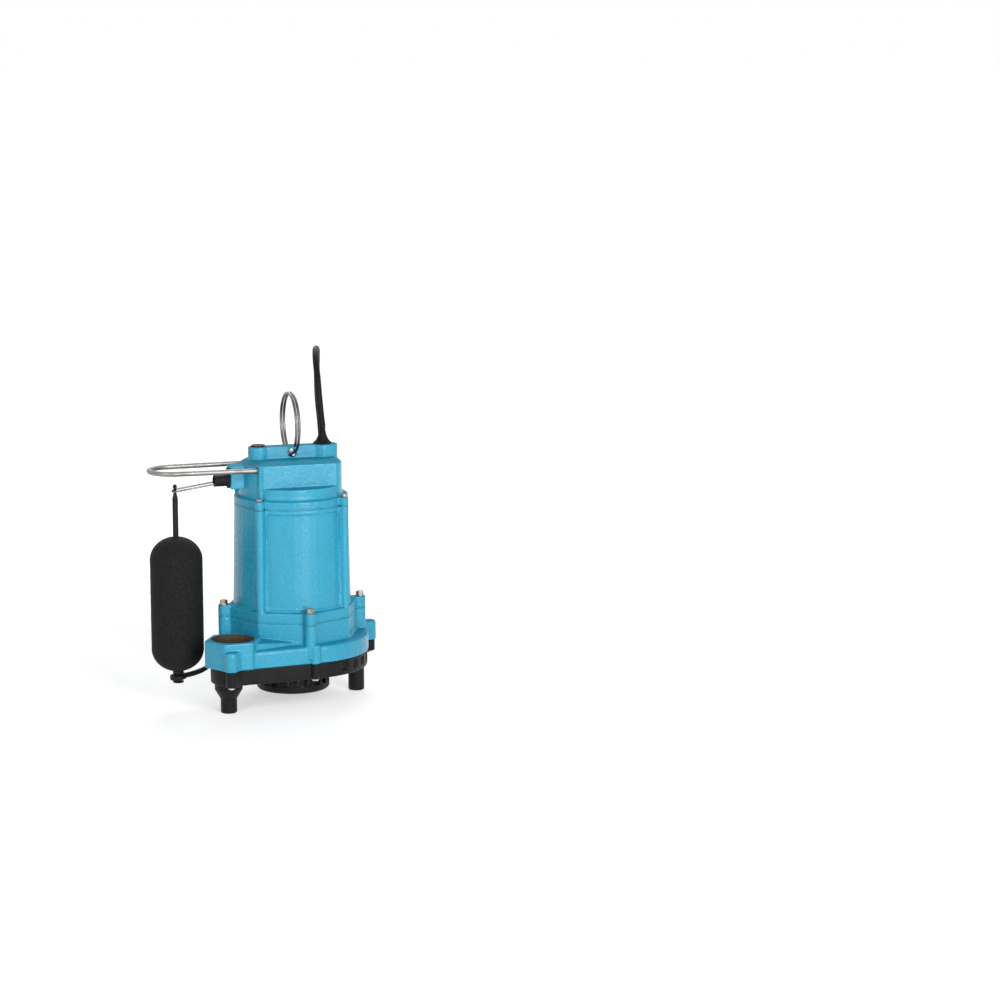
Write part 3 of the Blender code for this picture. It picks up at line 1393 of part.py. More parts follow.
def smooth_points(points, spacing):
    """Points at even spacing along a smooth curve through the given ones."""
    points = [Vector(point) for point in points]
    line = []
    for i in range(len(points) - 1):
        before = points[i - 1] if i else points[0] * 2 - points[1]
        after = points[i + 2] if i + 2 < len(points) else points[-1] * 2 - points[-2]
        a, b = points[i], points[i + 1]
        for k in range(16):
            t = k / 16
            line.append(
                0.5
                * (
                    2 * a
                    + (b - before) * t
                    + (2 * before - 5 * a + 4 * b - after) * t * t
                    + (3 * a - before - 3 * b + after) * t**3
                )
            )
    line.append(points[-1])
    reach = [0.0]
    for a, b in zip(line, line[1:]):
        reach.append(reach[-1] + (b - a).length)
    count = max(2, round(reach[-1] / spacing))
    made, k = [], 0
    for i in range(count + 1):
        want = reach[-1] * i / count
        while k < len(line) - 2 and reach[k + 1] < want:
            k += 1
        share = (want - reach[k]) / (reach[k + 1] - reach[k])
        made.append(line[k].lerp(line[k + 1], min(max(share, 0.0), 1.0)))
    return made


def length_of(points):
    return sum((b - a).length for a, b in zip(points, points[1:]))


def make_cord_piece(name, points, resolution, parent):
    """A length of cord: a curve with a round bevel and filled ends."""
    data = bpy.data.curves.new(name, "CURVE")
    data.dimensions = "3D"
    data.bevel_depth = CORD_R
    data.bevel_resolution = resolution
    data.use_fill_caps = True
    spline = data.splines.new("POLY")
    spline.points.add(len(points) - 1)
    for spot, point in zip(spline.points, points):
        spot.co = (*point, 1.0)
    data.materials.append(bpy.data.materials["black_rubber"])
    made = bpy.data.objects.new(name, data)
    made.parent = parent
    bpy.context.scene.collection.objects.link(made)
    return made


def coil_points():
    """Two layers of turns. The upper one winds in, steps down and winds out again."""
    low = FLOOR_GAP + CORD_R
    high = low + COIL_PITCH
    inner = COIL_MEAN_R - COIL_TURNS * COIL_PITCH / 2
    count = 2 * COIL_TURNS * LOOP_POINTS
    points = []
    for i in range(count + 1):
        turn = i / LOOP_POINTS
        radius = inner + COIL_PITCH * abs(COIL_TURNS - turn)
        share = min(max((turn - COIL_TURNS + 0.25) / 0.5, 0.0), 1.0)
        height = high + (low - high) * share * share * (3.0 - 2.0 * share)
        angle = COIL_START + 2.0 * math.pi * turn
        points.append(Vector((*around((COIL_X, COIL_Y), radius, angle), height)))
    first = (points[0] - points[1]).normalized()
    last = (points[-1] - points[-2]).normalized()
    first.z = last.z = 0.0
    start = points[0] + first * 2 * CORD_R
    end = points[-1] + last * 2 * CORD_R
    return [start, *points, end]


def least_gap(points):
    """The least distance between two stretches of a tube that aren't neighbours."""
    least = 1.0
    apart = round(LOOP_POINTS / 2)
    for i, a in enumerate(points):
        for j in range(i + apart, len(points) - 1):
            b, c = points[j], points[j + 1]
            way = c - b
            share = min(max((a - b).dot(way) / way.length_squared, 0.0), 1.0)
            least = min(least, (a - (b + way * share)).length)
    return least - 2 * CORD_R


def make_cord(frame):
    turns = coil_points()
    print(f"cord coil: {length_of(turns):.3f} m, least gap to itself {least_gap(turns) * 1000:.2f} mm")
    make_cord_piece("cord_coil", turns, 1, frame)

    into = (turns[1] - turns[0]).normalized()
    out = (turns[-1] - turns[-2]).normalized()
    exit_point = Vector((BOSS_X, 0.0, GLAND_TOP + SEAT))
    straight = 2 * CORD_R
    end = turns[0] - into * SEAT
    upright = exit_point + Vector((0.0, 0.0, straight))
    free = smooth_points([upright, *CORD_ROUTE, end - into * straight], 0.0200)
    free = [exit_point, *free, end]
    make_cord_piece("power_cord", free, 2, frame)

    start = turns[-1] + out * SEAT
    rise = Vector((0.0, 0.0, PLUG_RISE - start.z))
    entry = start + out * TAIL_LONG + rise
    middle = start + (out * TAIL_LONG + rise) / 2
    bends = [start + out * straight, middle, entry - out * straight]
    tail = [start, *smooth_points(bends, 0.0090), entry]
    make_cord_piece("cord_tail", tail, 2, frame)
    whole = length_of(free) + length_of(turns) + length_of(tail)
    print(f"cord length: {whole:.3f} m")
    make_plug(frame, entry, out)


def blade(start, end, y, clear):
    """A flat blade of the plug, or with some clearance the slot that it stands in."""
    thick, wide = BLADE_HALF_THICK + clear, BLADE_HALF_WIDE + clear
    return box((start, y - thick, BLADE_RISE - wide), (end, y + thick, BLADE_RISE + wide))


def make_plug(frame, entry, out):
    """A moulded three-pin plug, lying on the floor at the end of the cord."""
    turn = Matrix.Rotation(math.atan2(out.y, out.x), 4, "Z")
    place = Matrix.Translation(entry + out * SEAT)

    def section(x, wide, high):
        corner = min(wide, high) * 0.45
        places = [(side * (wide - corner), high - corner) for side in (-1, 1)]
        corners = [(y, side * z, corner) for y, z in places for side in (-1, 1)]
        return [(x, y, z) for y, z in hull(corners, 20)]

    neck = PLUG_NECK_LONG
    body = skin(
        [
            section(0.0, 0.0046, 0.0046),
            section(neck * 0.7, 0.0058, 0.0056),
            section(neck, PLUG_HALF_WIDE * 0.72, PLUG_HALF_HIGH * 0.80),
            section(neck + 0.006, PLUG_HALF_WIDE, PLUG_HALF_HIGH),
            section(neck + PLUG_LONG - 0.0015, PLUG_HALF_WIDE * 0.96, PLUG_HALF_HIGH),
            section(neck + PLUG_LONG, PLUG_HALF_WIDE * 0.90, PLUG_HALF_HIGH * 0.90),
        ]
    )
    face = neck + PLUG_LONG
    foot = face - BLADE_SINK
    blades = []
    slots = []
    for side in (-1, 1):
        blades.append(blade(foot, face + BLADE_LONG, side * BLADE_APART / 2, 0.0))
        slots.append(blade(foot - SEAT, face + OVER, side * BLADE_APART / 2, SEAT))
    pin_long = BLADE_SINK + BLADE_LONG + PIN_LONGER
    pin = along_x(disc(PIN_R, 0.0, pin_long, 12, edge=0.0008), foot, 0.0, -PIN_DROP)
    slots.append(along_x(disc(PIN_R + SEAT, 0.0, pin_long, 12), foot - SEAT, 0.0, -PIN_DROP))
    for solid in (body, *blades, *slots, pin):
        moved(solid, turn, place)
    make_piece("plug_body", body, "black_moulding", frame, holes=slots)
    make_piece("plug_blade_1", blades[0], "brass", frame)
    make_piece("plug_blade_2", blades[1], "brass", frame)
    make_piece("plug_ground_pin", pin, "brass", frame)


# --- the whole pump ---

CORD_PIECES = (
    "power_cord",
    "cord_coil",
    "cord_tail",
    "plug_body",
    "plug_blade_1",
    "plug_blade_2",
    "plug_ground_pin",
    "cord_strain_relief",
)


def stand_on_origin(frame):
    """Put the middle of the pump's box, without its cord, over the world's origin."""
    bpy.context.view_layer.update()
    corners = []
    for piece in bpy.data.objects:
        if piece.type == "MESH" and piece.name not in CORD_PIECES:
            corners += [piece.matrix_world @ vert.co for vert in piece.data.vertices]
    middle = [
        (min(c[i] for c in corners) + max(c[i] for c in corners)) / 2 for i in range(2)
    ]
    frame.location = (-middle[0], -middle[1], -min(c.z for c in corners))
    bpy.context.view_layer.update()


def make_pump():
    clear_scene()
    for name in FINISHES:
        make_finish(name)
    frame = make_empty("pump_frame", (0.0, 0.0, 0.0))
    arm_hinge = make_empty("float_arm_hinge", (PIVOT_X, 0.0, PIVOT_Z), frame)
    float_hinge = make_empty("float_hinge", (EYE_X, 0.0, EYE_Z), frame)
    tether_hinge = make_empty("tether_hinge", (ANCHOR_X, 0.0, ANCHOR_Z), frame)
    spin = make_empty("motor_axis", (0.0, 0.0, ROTOR_LOW), frame)
    make_motor_housing(frame)
    make_gaskets(frame)
    make_top_cover(frame)
    make_fasteners(frame)
    make_cover_fittings(frame)
    make_lifting_ring(frame)
    make_guard_bail(frame)
    make_switch(frame, arm_hinge)
    make_float(float_hinge)
    make_tether(tether_hinge)
    make_volute(frame)
    make_base(frame)
    make_strainer(frame)
    make_motor(frame, spin)
    make_cord(frame)
    stand_on_origin(frame)


make_pump()
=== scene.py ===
import json
import math

import bmesh
import bpy
from mathutils import Matrix, Vector, noise


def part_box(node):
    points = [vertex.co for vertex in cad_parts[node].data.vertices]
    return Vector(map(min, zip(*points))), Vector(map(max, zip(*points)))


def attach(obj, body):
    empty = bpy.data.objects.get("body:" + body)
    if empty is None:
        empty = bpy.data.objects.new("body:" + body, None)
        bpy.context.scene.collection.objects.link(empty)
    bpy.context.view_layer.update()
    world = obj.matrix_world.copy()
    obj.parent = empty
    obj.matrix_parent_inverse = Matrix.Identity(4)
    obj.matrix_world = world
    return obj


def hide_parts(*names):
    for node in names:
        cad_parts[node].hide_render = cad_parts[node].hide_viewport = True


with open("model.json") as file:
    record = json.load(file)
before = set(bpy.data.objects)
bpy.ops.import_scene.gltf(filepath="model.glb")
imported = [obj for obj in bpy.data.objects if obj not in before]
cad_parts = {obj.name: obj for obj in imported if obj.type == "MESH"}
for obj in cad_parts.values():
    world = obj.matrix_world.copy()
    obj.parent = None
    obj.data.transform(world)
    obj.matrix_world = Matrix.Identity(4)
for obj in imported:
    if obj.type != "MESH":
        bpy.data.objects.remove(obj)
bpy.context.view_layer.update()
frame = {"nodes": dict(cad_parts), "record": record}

nodes = frame["nodes"]

# millimetres from here on, measured from the motor's axis with the floor at 0
shaftLow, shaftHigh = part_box("motor_shaft")
axisFoot = Vector(((shaftLow.x + shaftHigh.x) / 2, (shaftLow.y + shaftHigh.y) / 2, 0.0))
fromMillimetres = Matrix.Translation(axisFoot) @ Matrix.Scale(0.001, 4)


def at(x, y, z):
    return axisFoot + Vector((x, y, z)) / 1000


def moved(x, y, z=0.0):
    return Matrix.Translation((x, y, z))


def linkObject(name, data):
    made = bpy.data.objects.new(name, data)
    bpy.context.scene.collection.objects.link(made)
    return made


print("frame loaded, pump axis at", [round(v * 1000, 2) for v in axisFoot])

cameraSetting = {
    "place": (-854.13, -3326.62, 823.83),
    "turn": math.radians(18.540),  # to the right, as it stands left of the pump's front
    "tilt": math.radians(9.669),  # down
    "lens": 105.44,
    "sensor": 36,
    "clip": (0.1, 60),
}


def placeCamera(setting):
    turn, tilt = setting["turn"], setting["tilt"]
    ahead = Vector((math.sin(turn) * math.cos(tilt), math.cos(turn) * math.cos(tilt), -math.sin(tilt)))
    right = ahead.cross(Vector((0, 0, 1))).normalized()
    turned = Matrix((right, right.cross(ahead), -ahead)).transposed().to_4x4()
    turned.translation = at(*setting["place"])
    data = bpy.data.cameras.new("photoCamera")
    data.lens = setting["lens"]
    data.sensor_width = setting["sensor"]
    data.clip_start, data.clip_end = setting["clip"]
    made = linkObject("photoCamera", data)
    made.matrix_world = turned
    bpy.context.scene.camera = made


placeCamera(cameraSetting)
print("camera placed")


# the nodes of a finish are made with these
def startMaterial(name):
    material = bpy.data.materials.new(name)
    material.use_nodes = True
    tree = material.node_tree
    return material, tree, tree.nodes["Principled BSDF"]


def addNode(tree, kind, **values):
    made = tree.nodes.new("ShaderNode" + kind)
    for key, value in values.items():
        made.inputs[key].default_value = value
    return made


def calculate(tree, operation, *values):
    made = tree.nodes.new("ShaderNodeMath")
    made.operation = operation
    for socket, value in zip(made.inputs, values):
        if isinstance(value, (int, float)):
            socket.default_value = value
        else:
            tree.links.new(value, socket)
    return made.outputs["Value"]


def noiseField(tree, scale, detail=3.0, stretch=(1, 1, 1)):
    place = addNode(tree, "TexCoord").outputs["Object"]
    squeeze = addNode(tree, "Mapping", Scale=stretch)
    field = addNode(tree, "TexNoise", Scale=scale, Detail=detail, Roughness=0.58)
    tree.links.new(place, squeeze.inputs["Vector"])
    tree.links.new(squeeze.outputs["Vector"], field.inputs["Vector"])
    return field.outputs["Fac"]


def spread(tree, value, low, high, fromLow=0.3, fromHigh=0.7):
    limits = {"From Min": fromLow, "From Max": fromHigh, "To Min": low, "To Max": high}
    ranged = addNode(tree, "MapRange", **limits)
    tree.links.new(value, ranged.inputs["Value"])
    return ranged.outputs["Result"]


def mixColours(tree, share, first, second):
    mixed = tree.nodes.new("ShaderNodeMix")
    mixed.data_type = "RGBA"
    tree.links.new(share, mixed.inputs["Factor"])
    for socket, colour in ((mixed.inputs[6], first), (mixed.inputs[7], second)):
        if isinstance(colour, tuple):
            socket.default_value = (*colour, 1.0)
        else:
            tree.links.new(colour, socket)
    return mixed.outputs[2]


def mixValues(tree, share, first, second):
    mixed = tree.nodes.new("ShaderNodeMix")
    tree.links.new(share, mixed.inputs["Factor"])
    for socket, value in ((mixed.inputs[2], first), (mixed.inputs[3], second)):
        if isinstance(value, (int, float)):
            socket.default_value = value
        else:
            tree.links.new(value, socket)
    return mixed.outputs[0]


def bumpOn(tree, height, depth, strength, before=None):
    bump = addNode(tree, "Bump", Strength=strength, Distance=depth)
    tree.links.new(height, bump.inputs["Height"])
    if before:
        tree.links.new(before, bump.inputs["Normal"])
    return bump.outputs["Normal"]


def plainFinish(name, look):
    # two tones in patches, a roughness that wanders, and a fine grain
    material, tree, shader = startMaterial(name)
    patches = noiseField(tree, look["patchScale"], 4.0)
    tones = mixColours(tree, spread(tree, patches, 0.0, 1.0), look["colour"], look["otherColour"])
    tree.links.new(tones, shader.inputs["Base Color"])
    worn = noiseField(tree, look["patchScale"] * 2.7)
    tree.links.new(spread(tree, worn, *look["rough"]), shader.inputs["Roughness"])
    grain = noiseField(tree, look["grainScale"], 3.0, look.get("stretch", (1, 1, 1)))
    surface = bumpOn(tree, grain, look["grainDepth"], look["grainStrength"])
    tree.links.new(surface, shader.inputs["Normal"])
    shader.inputs["Metallic"].default_value = look.get("metal", 0.0)
    shader.inputs["Specular IOR Level"].default_value = look.get("shine", 0.5)
    return material


bluePaintLook = {
    "colour": (0.030, 0.368, 0.550), "otherColour": (0.024, 0.335, 0.505),
    "crevice": (0.010, 0.170, 0.270),  # painted shade: the colour that creases and corners are darkened towards
    "creviceReach": 0.0060,
    "creviceMost": 0.85,
    "creviceFrom": (0.25, 0.88),
    "patchScale": 34.0,
    "peelScale": 620.0,
    "peelDepth": 0.0006,
    "peelStrength": 0.60,
    "castScale": 170.0,
    "castDepth": 0.0009,
    "castStrength": 0.35,
    "rough": (0.23, 0.33),
    "shine": 0.42,
    "dust": (0.022, 0.300, 0.455),  # faces that look up are darker, as painted shade, and also rougher and less shiny
    "dustFrom": (0.45, 0.85),
    "dustRough": 0.62,
    "dustShine": 0.12,
    "bareColour": (0.026, 0.019, 0.015),  # machined iron inside the discharge, darkened further as painted shade in the bore
    "bareOther": (0.062, 0.040, 0.027),
    "bareScale": 180.0,
    "bareRough": 0.62,
    "bareEdge": 0.0002,
}


def bluePaint(name, look, port=None):
    material, tree, shader = startMaterial(name)
    patches = noiseField(tree, look["patchScale"], 4.0)
    paint = mixColours(tree, spread(tree, patches, 0.0, 1.0), look["colour"], look["otherColour"])
    hidden = addNode(tree, "AmbientOcclusion", Distance=look["creviceReach"])
    hidden.samples = 6
    inPaintedShade = spread(tree, hidden.outputs["AO"], look["creviceMost"], 0.0, *look["creviceFrom"])
    # painted shade: where the ambient occlusion finds creases and corners, the paint is darkened
    # towards the painted shade colour
    colour = mixColours(tree, inPaintedShade, paint, look["crevice"])
    rough = spread(tree, noiseField(tree, look["patchScale"] * 3.1), *look["rough"])
    facing = tree.nodes.new("ShaderNodeSeparateXYZ")
    tree.links.new(tree.nodes.new("ShaderNodeNewGeometry").outputs["Normal"], facing.inputs["Vector"])
    # painted shade: faces that look up are darkened; they are also made rougher and less shiny
    upFacing = spread(tree, facing.outputs["Z"], 0.0, 1.0, *look["dustFrom"])
    colour = mixColours(tree, upFacing, colour, look["dust"])
    rough = mixValues(tree, upFacing, rough, look["dustRough"])
    shine = mixValues(tree, upFacing, look["shine"], look["dustShine"])
    if port:  # bare iron inside the bore, darkened further as painted shade, found by its distance from the bore's axis
        split = addNode(tree, "SeparateXYZ")
        tree.links.new(addNode(tree, "TexCoord").outputs["Object"], split.inputs["Vector"])
        across = calculate(tree, "SUBTRACT", split.outputs["X"], port["centre"].x)
        along = calculate(tree, "SUBTRACT", split.outputs["Y"], port["centre"].y)
        squares = [calculate(tree, "MULTIPLY", side, side) for side in (across, along)]
        far = calculate(tree, "SQRT", calculate(tree, "ADD", *squares))
        edge = look["bareEdge"]
        inside = spread(tree, far, 1.0, 0.0, port["radius"] - edge, port["radius"] + edge)
        rusty = noiseField(tree, look["bareScale"], 5.0)
        bareAndShaded = mixColours(tree, spread(tree, rusty, 0.0, 1.0), look["bareColour"], look["bareOther"])
        colour = mixColours(tree, inside, colour, bareAndShaded)
        rough = mixValues(tree, inside, rough, look["bareRough"])
    tree.links.new(colour, shader.inputs["Base Color"])
    tree.links.new(rough, shader.inputs["Roughness"])
    tree.links.new(shine, shader.inputs["Specular IOR Level"])
    waves = noiseField(tree, look["castScale"], 2.0)
    cast = bumpOn(tree, waves, look["castDepth"], look["castStrength"])
    peel = noiseField(tree, look["peelScale"], 2.0)
    surface = bumpOn(tree, peel, look["peelDepth"], look["peelStrength"], cast)
    tree.links.new(surface, shader.inputs["Normal"])
    return material


portPlace = {"centre": at(-89.2, -68.0, 0.0), "radius": 0.0256}  # metres

finishLooks = {
    "blackMoulding": {
        "colour": (0.006, 0.006, 0.007), "otherColour": (0.011, 0.011, 0.011), "patchScale": 60.0,
        "rough": (0.34, 0.50),
        "grainScale": 900.0, "grainDepth": 0.00012, "grainStrength": 0.35, "shine": 0.16,
    },
    "blackRubber": {
        "colour": (0.007, 0.007, 0.007), "otherColour": (0.013, 0.012, 0.012), "patchScale": 80.0,
        "rough": (0.46, 0.64),
        "grainScale": 1200.0, "grainDepth": 0.0001, "grainStrength": 0.30, "shine": 0.18,
    },
    "floatSkin": {
        "colour": (0.005, 0.005, 0.005), "otherColour": (0.017, 0.017, 0.016), "patchScale": 420.0,
        "rough": (0.72, 0.92),
        "grainScale": 620.0, "grainDepth": 0.0007, "grainStrength": 0.8, "shine": 0.18,
    },
    "cordJacket": {
        "colour": (0.006, 0.005, 0.005), "otherColour": (0.010, 0.008, 0.008), "patchScale": 45.0,
        "rough": (0.38, 0.52),
        "grainScale": 1500.0, "grainDepth": 0.00006, "grainStrength": 0.25, "shine": 0.11,
    },
    "stainlessRod": {
        "colour": (0.31, 0.31, 0.30), "otherColour": (0.20, 0.19, 0.18), "patchScale": 70.0,
        "metal": 1.0, "rough": (0.36, 0.48),
        "grainScale": 1600.0, "grainDepth": 0.00003, "grainStrength": 0.12,
    },
    "ringSteel": {
        "colour": (0.20, 0.19, 0.185), "otherColour": (0.10, 0.095, 0.09), "patchScale": 60.0,
        "metal": 1.0, "rough": (0.22, 0.32),
        "grainScale": 1500.0, "grainDepth": 0.00003, "grainStrength": 0.12,
    },
    "brightScrew": {
        "colour": (0.66, 0.63, 0.58), "otherColour": (0.44, 0.40, 0.35), "patchScale": 170.0,
        "metal": 1.0, "rough": (0.22, 0.38),
        "grainScale": 1400.0, "grainDepth": 0.00005, "grainStrength": 0.3,
    },
    "boltSteel": {
        "colour": (0.42, 0.37, 0.31), "otherColour": (0.24, 0.18, 0.14), "patchScale": 190.0,
        "metal": 1.0, "rough": (0.28, 0.50),
        "grainScale": 1400.0, "grainDepth": 0.00006, "grainStrength": 0.35,
    },
    "bareIron": {
        "colour": (0.085, 0.058, 0.042), "otherColour": (0.150, 0.098, 0.066), "patchScale": 160.0,
        "metal": 0.35, "rough": (0.45, 0.68),
        "grainScale": 1100.0, "grainDepth": 0.00012, "grainStrength": 0.4,
    },
    "seamLine": {
        "colour": (0.027, 0.345, 0.515), "otherColour": (0.045, 0.240, 0.330), "patchScale": 55.0,
        "rough": (0.28, 0.45),
        "grainScale": 620.0, "grainDepth": 0.0003, "grainStrength": 0.4, "shine": 0.35,
    },
    "groundSteel": {
        "colour": (0.62, 0.62, 0.63), "otherColour": (0.52, 0.52, 0.53), "patchScale": 90.0,
        "metal": 1.0, "rough": (0.14, 0.26),
        "grainScale": 900.0, "grainDepth": 0.00003, "grainStrength": 0.3, "stretch": (1, 1, 14),
    },
    "lamination": {
        "colour": (0.30, 0.30, 0.31), "otherColour": (0.22, 0.21, 0.21), "patchScale": 50.0,
        "metal": 1.0, "rough": (0.42, 0.58),
        "grainScale": 260.0, "grainDepth": 0.0002, "grainStrength": 0.6, "stretch": (0.02, 0.02, 9),
    },
    "copperWire": {
        "colour": (0.62, 0.26, 0.12), "otherColour": (0.42, 0.15, 0.07), "patchScale": 120.0,
        "metal": 1.0, "rough": (0.26, 0.40),
        "grainScale": 320.0, "grainDepth": 0.0005, "grainStrength": 0.8, "stretch": (4, 4, 0.6),
    },
    "brass": {
        "colour": (0.74, 0.52, 0.22), "otherColour": (0.62, 0.42, 0.17), "patchScale": 90.0,
        "metal": 1.0, "rough": (0.22, 0.36),
        "grainScale": 1300.0, "grainDepth": 0.00004, "grainStrength": 0.3,
    },
    "ceramic": {
        "colour": (0.70, 0.69, 0.66), "otherColour": (0.64, 0.63, 0.60), "patchScale": 100.0,
        "rough": (0.16, 0.24),
        "grainScale": 1500.0, "grainDepth": 0.00002, "grainStrength": 0.2,
    },
    "whiteMoulding": {
        "colour": (0.60, 0.60, 0.57), "otherColour": (0.54, 0.54, 0.51), "patchScale": 120.0,
        "rough": (0.35, 0.45),
        "grainScale": 1300.0, "grainDepth": 0.00004, "grainStrength": 0.2,
    },
}
finishes = {name: plainFinish(name, look) for name, look in finishLooks.items()}
finishes["bluePaint"] = bluePaint("bluePaint", bluePaintLook)
finishes["bluePaintPort"] = bluePaint("bluePaintPort", bluePaintLook, portPlace)

slotFinishes = {
    "blue_paint": "bluePaint", "black_moulding": "blackMoulding", "black_rubber": "blackRubber",
    "float_skin": "floatSkin", "steel": "boltSteel", "bearing_steel": "groundSteel",
    "lamination": "lamination", "copper": "copperWire", "brass": "brass", "ceramic": "ceramic",
    "white_moulding": "whiteMoulding",
}
ownFinishes = {
    "cover_gasket": "seamLine", "volute_gasket": "seamLine", "volute": "bluePaintPort",
    "lifting_ring": "ringSteel", "guard_bail": "stainlessRod", "float_arm": "ringSteel",
    "motor_shaft": "groundSteel", "tether_pin": "stainlessRod", "switch_pivot_pin": "stainlessRod",
}


def dressNodes():
    for part in frame["record"]["subparts"]:
        name = part["node"]
        finish = ownFinishes.get(name) or slotFinishes[part["material_slot"]]
        nodes[name].data.materials.clear()
        nodes[name].data.materials.append(finishes[finish])


dressNodes()
print("finishes made:", len(finishes))


# solids are built in millimetres in a bmesh, then put in place
def latheMesh(profile, steps, closed=False):
    solid = bmesh.new()
    rings = []
    for radius, height in profile:
        count = steps if radius > 0 else 1
        turns = [2 * math.pi * i / steps for i in range(count)]
        ring = [(radius * math.cos(a), radius * math.sin(a), height) for a in turns]
        rings.append([solid.verts.new(point) for point in ring])
    pairs = list(zip(rings, rings[1:])) + ([(rings[-1], rings[0])] if closed else [])
    for low, high in pairs:
        count = max(len(low), len(high))
        for i in range(count):
            j = (i + 1) % count
            corners = [low[i % len(low)], low[j % len(low)], high[j % len(high)], high[i % len(high)]]
            solid.faces.new(list(dict.fromkeys(corners)))
    bmesh.ops.recalc_face_normals(solid, faces=solid.faces)
    return solid


def loftMesh(rings, closed=False):
    solid = bmesh.new()
    loops = [[solid.verts.new(point) for point in ring] for ring in rings]
    pairs = list(zip(loops, loops[1:])) + ([(loops[-1], loops[0])] if closed else [])
    for low, high in pairs:
        for i in range(len(low)):
            j = (i + 1) % len(low)
            solid.faces.new((low[i], low[j], high[j], high[i]))
    if not closed:
        solid.faces.new(loops[0])
        solid.faces.new(loops[-1])
    bmesh.ops.recalc_face_normals(solid, faces=solid.faces)
    return solid


def blockMesh(low, high):
    corners = [(low[0], low[1]), (high[0], low[1]), (high[0], high[1]), (low[0], high[1])]
    return loftMesh([[(*corner, z) for corner in corners] for z in (low[2], high[2])])


def joinMeshes(first, *others):
    for other in others:
        data = bpy.data.meshes.new("part")
        other.to_mesh(data)
        first.from_mesh(data)
        bpy.data.meshes.remove(data)
        other.free()
    return first


def roundOutline(circles, steps):
    # the outline round some circles (x, y, radius), one point for each direction
    points = []
    for i in range(steps):
        angle = 2 * math.pi * (i + 0.5) / steps
        reach = [c[0] * math.cos(angle) + c[1] * math.sin(angle) + c[2] for c in circles]
        x, y, radius = circles[reach.index(max(reach))]
        points.append((x + radius * math.cos(angle), y + radius * math.sin(angle)))
    return points


def solidObject(name, solid):
    data = bpy.data.meshes.new(name)
    solid.to_mesh(data)
    solid.free()
    return linkObject(name, data)


def keepPiece(name, solid, place, finish, body, replaced=(), sharp=35.0):
    # place is a matrix in millimetres of the pump's own frame
    solid.transform(fromMillimetres @ place)
    return claimPiece(solidObject(name, solid), finish, body, replaced, sharp)


def claimPiece(made, finish, body, replaced=(), sharp=35.0):
    made.data.materials.clear()
    made.data.materials.append(finishes[finish])
    if made.type == "MESH":
        made.data.shade_smooth()
        made.data.set_sharp_from_angle(angle=math.radians(sharp))
    if replaced:
        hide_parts(*replaced)
    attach(made, body)
    return made


def settleModifiers(made):
    bpy.context.view_layer.update()
    graph = bpy.context.evaluated_depsgraph_get()
    settled = bpy.data.meshes.new_from_object(made.evaluated_get(graph))
    made.modifiers.clear()
    before = made.data
    made.data = settled
    bpy.data.meshes.remove(before)


def tubeCurve(name, points, radius, resolution=6):
    data = bpy.data.curves.new(name, "CURVE")
    data.dimensions = "3D"
    data.bevel_depth = radius / 1000
    data.bevel_resolution = resolution
    data.use_fill_caps = True
    spline = data.splines.new("POLY")
    spline.points.add(len(points) - 1)
    for spot, point in zip(spline.points, points):
        spot.co = (*at(*point), 1.0)
    spline.use_smooth = True
    return linkObject(name, data)


def smoothThrough(points, spacing):
    points = [Vector(point) for point in points]
    line = []
    for i in range(len(points) - 1):
        before = points[i - 1] if i else points[0] * 2 - points[1]
        after = points[i + 2] if i + 2 < len(points) else points[-1] * 2 - points[-2]
        a, b = points[i], points[i + 1]
        for k in range(16):
            t = k / 16
            square = (2 * before - 5 * a + 4 * b - after) * t * t
            cube = (3 * a - before - 3 * b + after) * t ** 3
            line.append(0.5 * (2 * a + (b - before) * t + square + cube))
    line.append(points[-1])
    reach = [0.0]
    for a, b in zip(line, line[1:]):
        reach.append(reach[-1] + (b - a).length)
    count = max(2, round(reach[-1] / spacing))
    made, k = [], 0
    for i in range(count + 1):
        want = reach[-1] * i / count
        while k < len(line) - 2 and reach[k + 1] < want:
            k += 1
        share = (want - reach[k]) / (reach[k + 1] - reach[k])
        made.append(line[k].lerp(line[k + 1], min(max(share, 0.0), 1.0)))
    return made


cordRoute = {
    "diameter": 7.6,
    "glandTop": 321.8,
    "bossX": 39.2,
    "straight": 7.6,
    "free": (
        (39.2, 1.5, 331.0), (39.0, 7.0, 347.0), (39.0, 12.5, 363.0), (39.2, 19.0, 382.0),
        (41.2, 34.0, 401.0), (47.0, 56.0, 411.5), (55.5, 82.0, 407.0), (61.2, 105.0, 383.0),
        (65.5, 118.0, 345.0), (70.5, 124.0, 305.0), (72.0, 127.0, 260.0), (72.0, 128.0, 210.0),
        (72.0, 128.0, 160.0), (72.0, 128.5, 110.0), (72.5, 130.0, 70.0), (76.5, 135.0, 40.0),
        (86.0, 146.5, 20.5),
    ),
    "coilMiddle": (45.0, 200.0),
    "coilRadius": 48.3,
    "coilPitch": 8.2,
    "coilTurns": 4,  # in each of two layers
    "coilStart": math.radians(-20.0),
    "coilLow": 4.0,
    "lead": 50.3,  # from the last turn to the plug
    "leadMiddle": 25.0,
    "plugRise": 10.0,
    "loopPoints": 48,
}


def coilLine(route):
    low, high = route["coilLow"], route["coilLow"] + route["coilPitch"]
    inner = route["coilRadius"] - route["coilTurns"] * route["coilPitch"] / 2
    x, y = route["coilMiddle"]
    points = []
    for i in range(2 * route["coilTurns"] * route["loopPoints"] + 1):
        turn = i / route["loopPoints"]
        radius = inner + route["coilPitch"] * abs(route["coilTurns"] - turn)
        share = min(max((turn - route["coilTurns"] + 0.25) / 0.5, 0.0), 1.0)
        height = high + (low - high) * share * share * (3 - 2 * share)
        angle = route["coilStart"] + 2 * math.pi * turn
        points.append(Vector((x + radius * math.cos(angle), y + radius * math.sin(angle), height)))
    return points


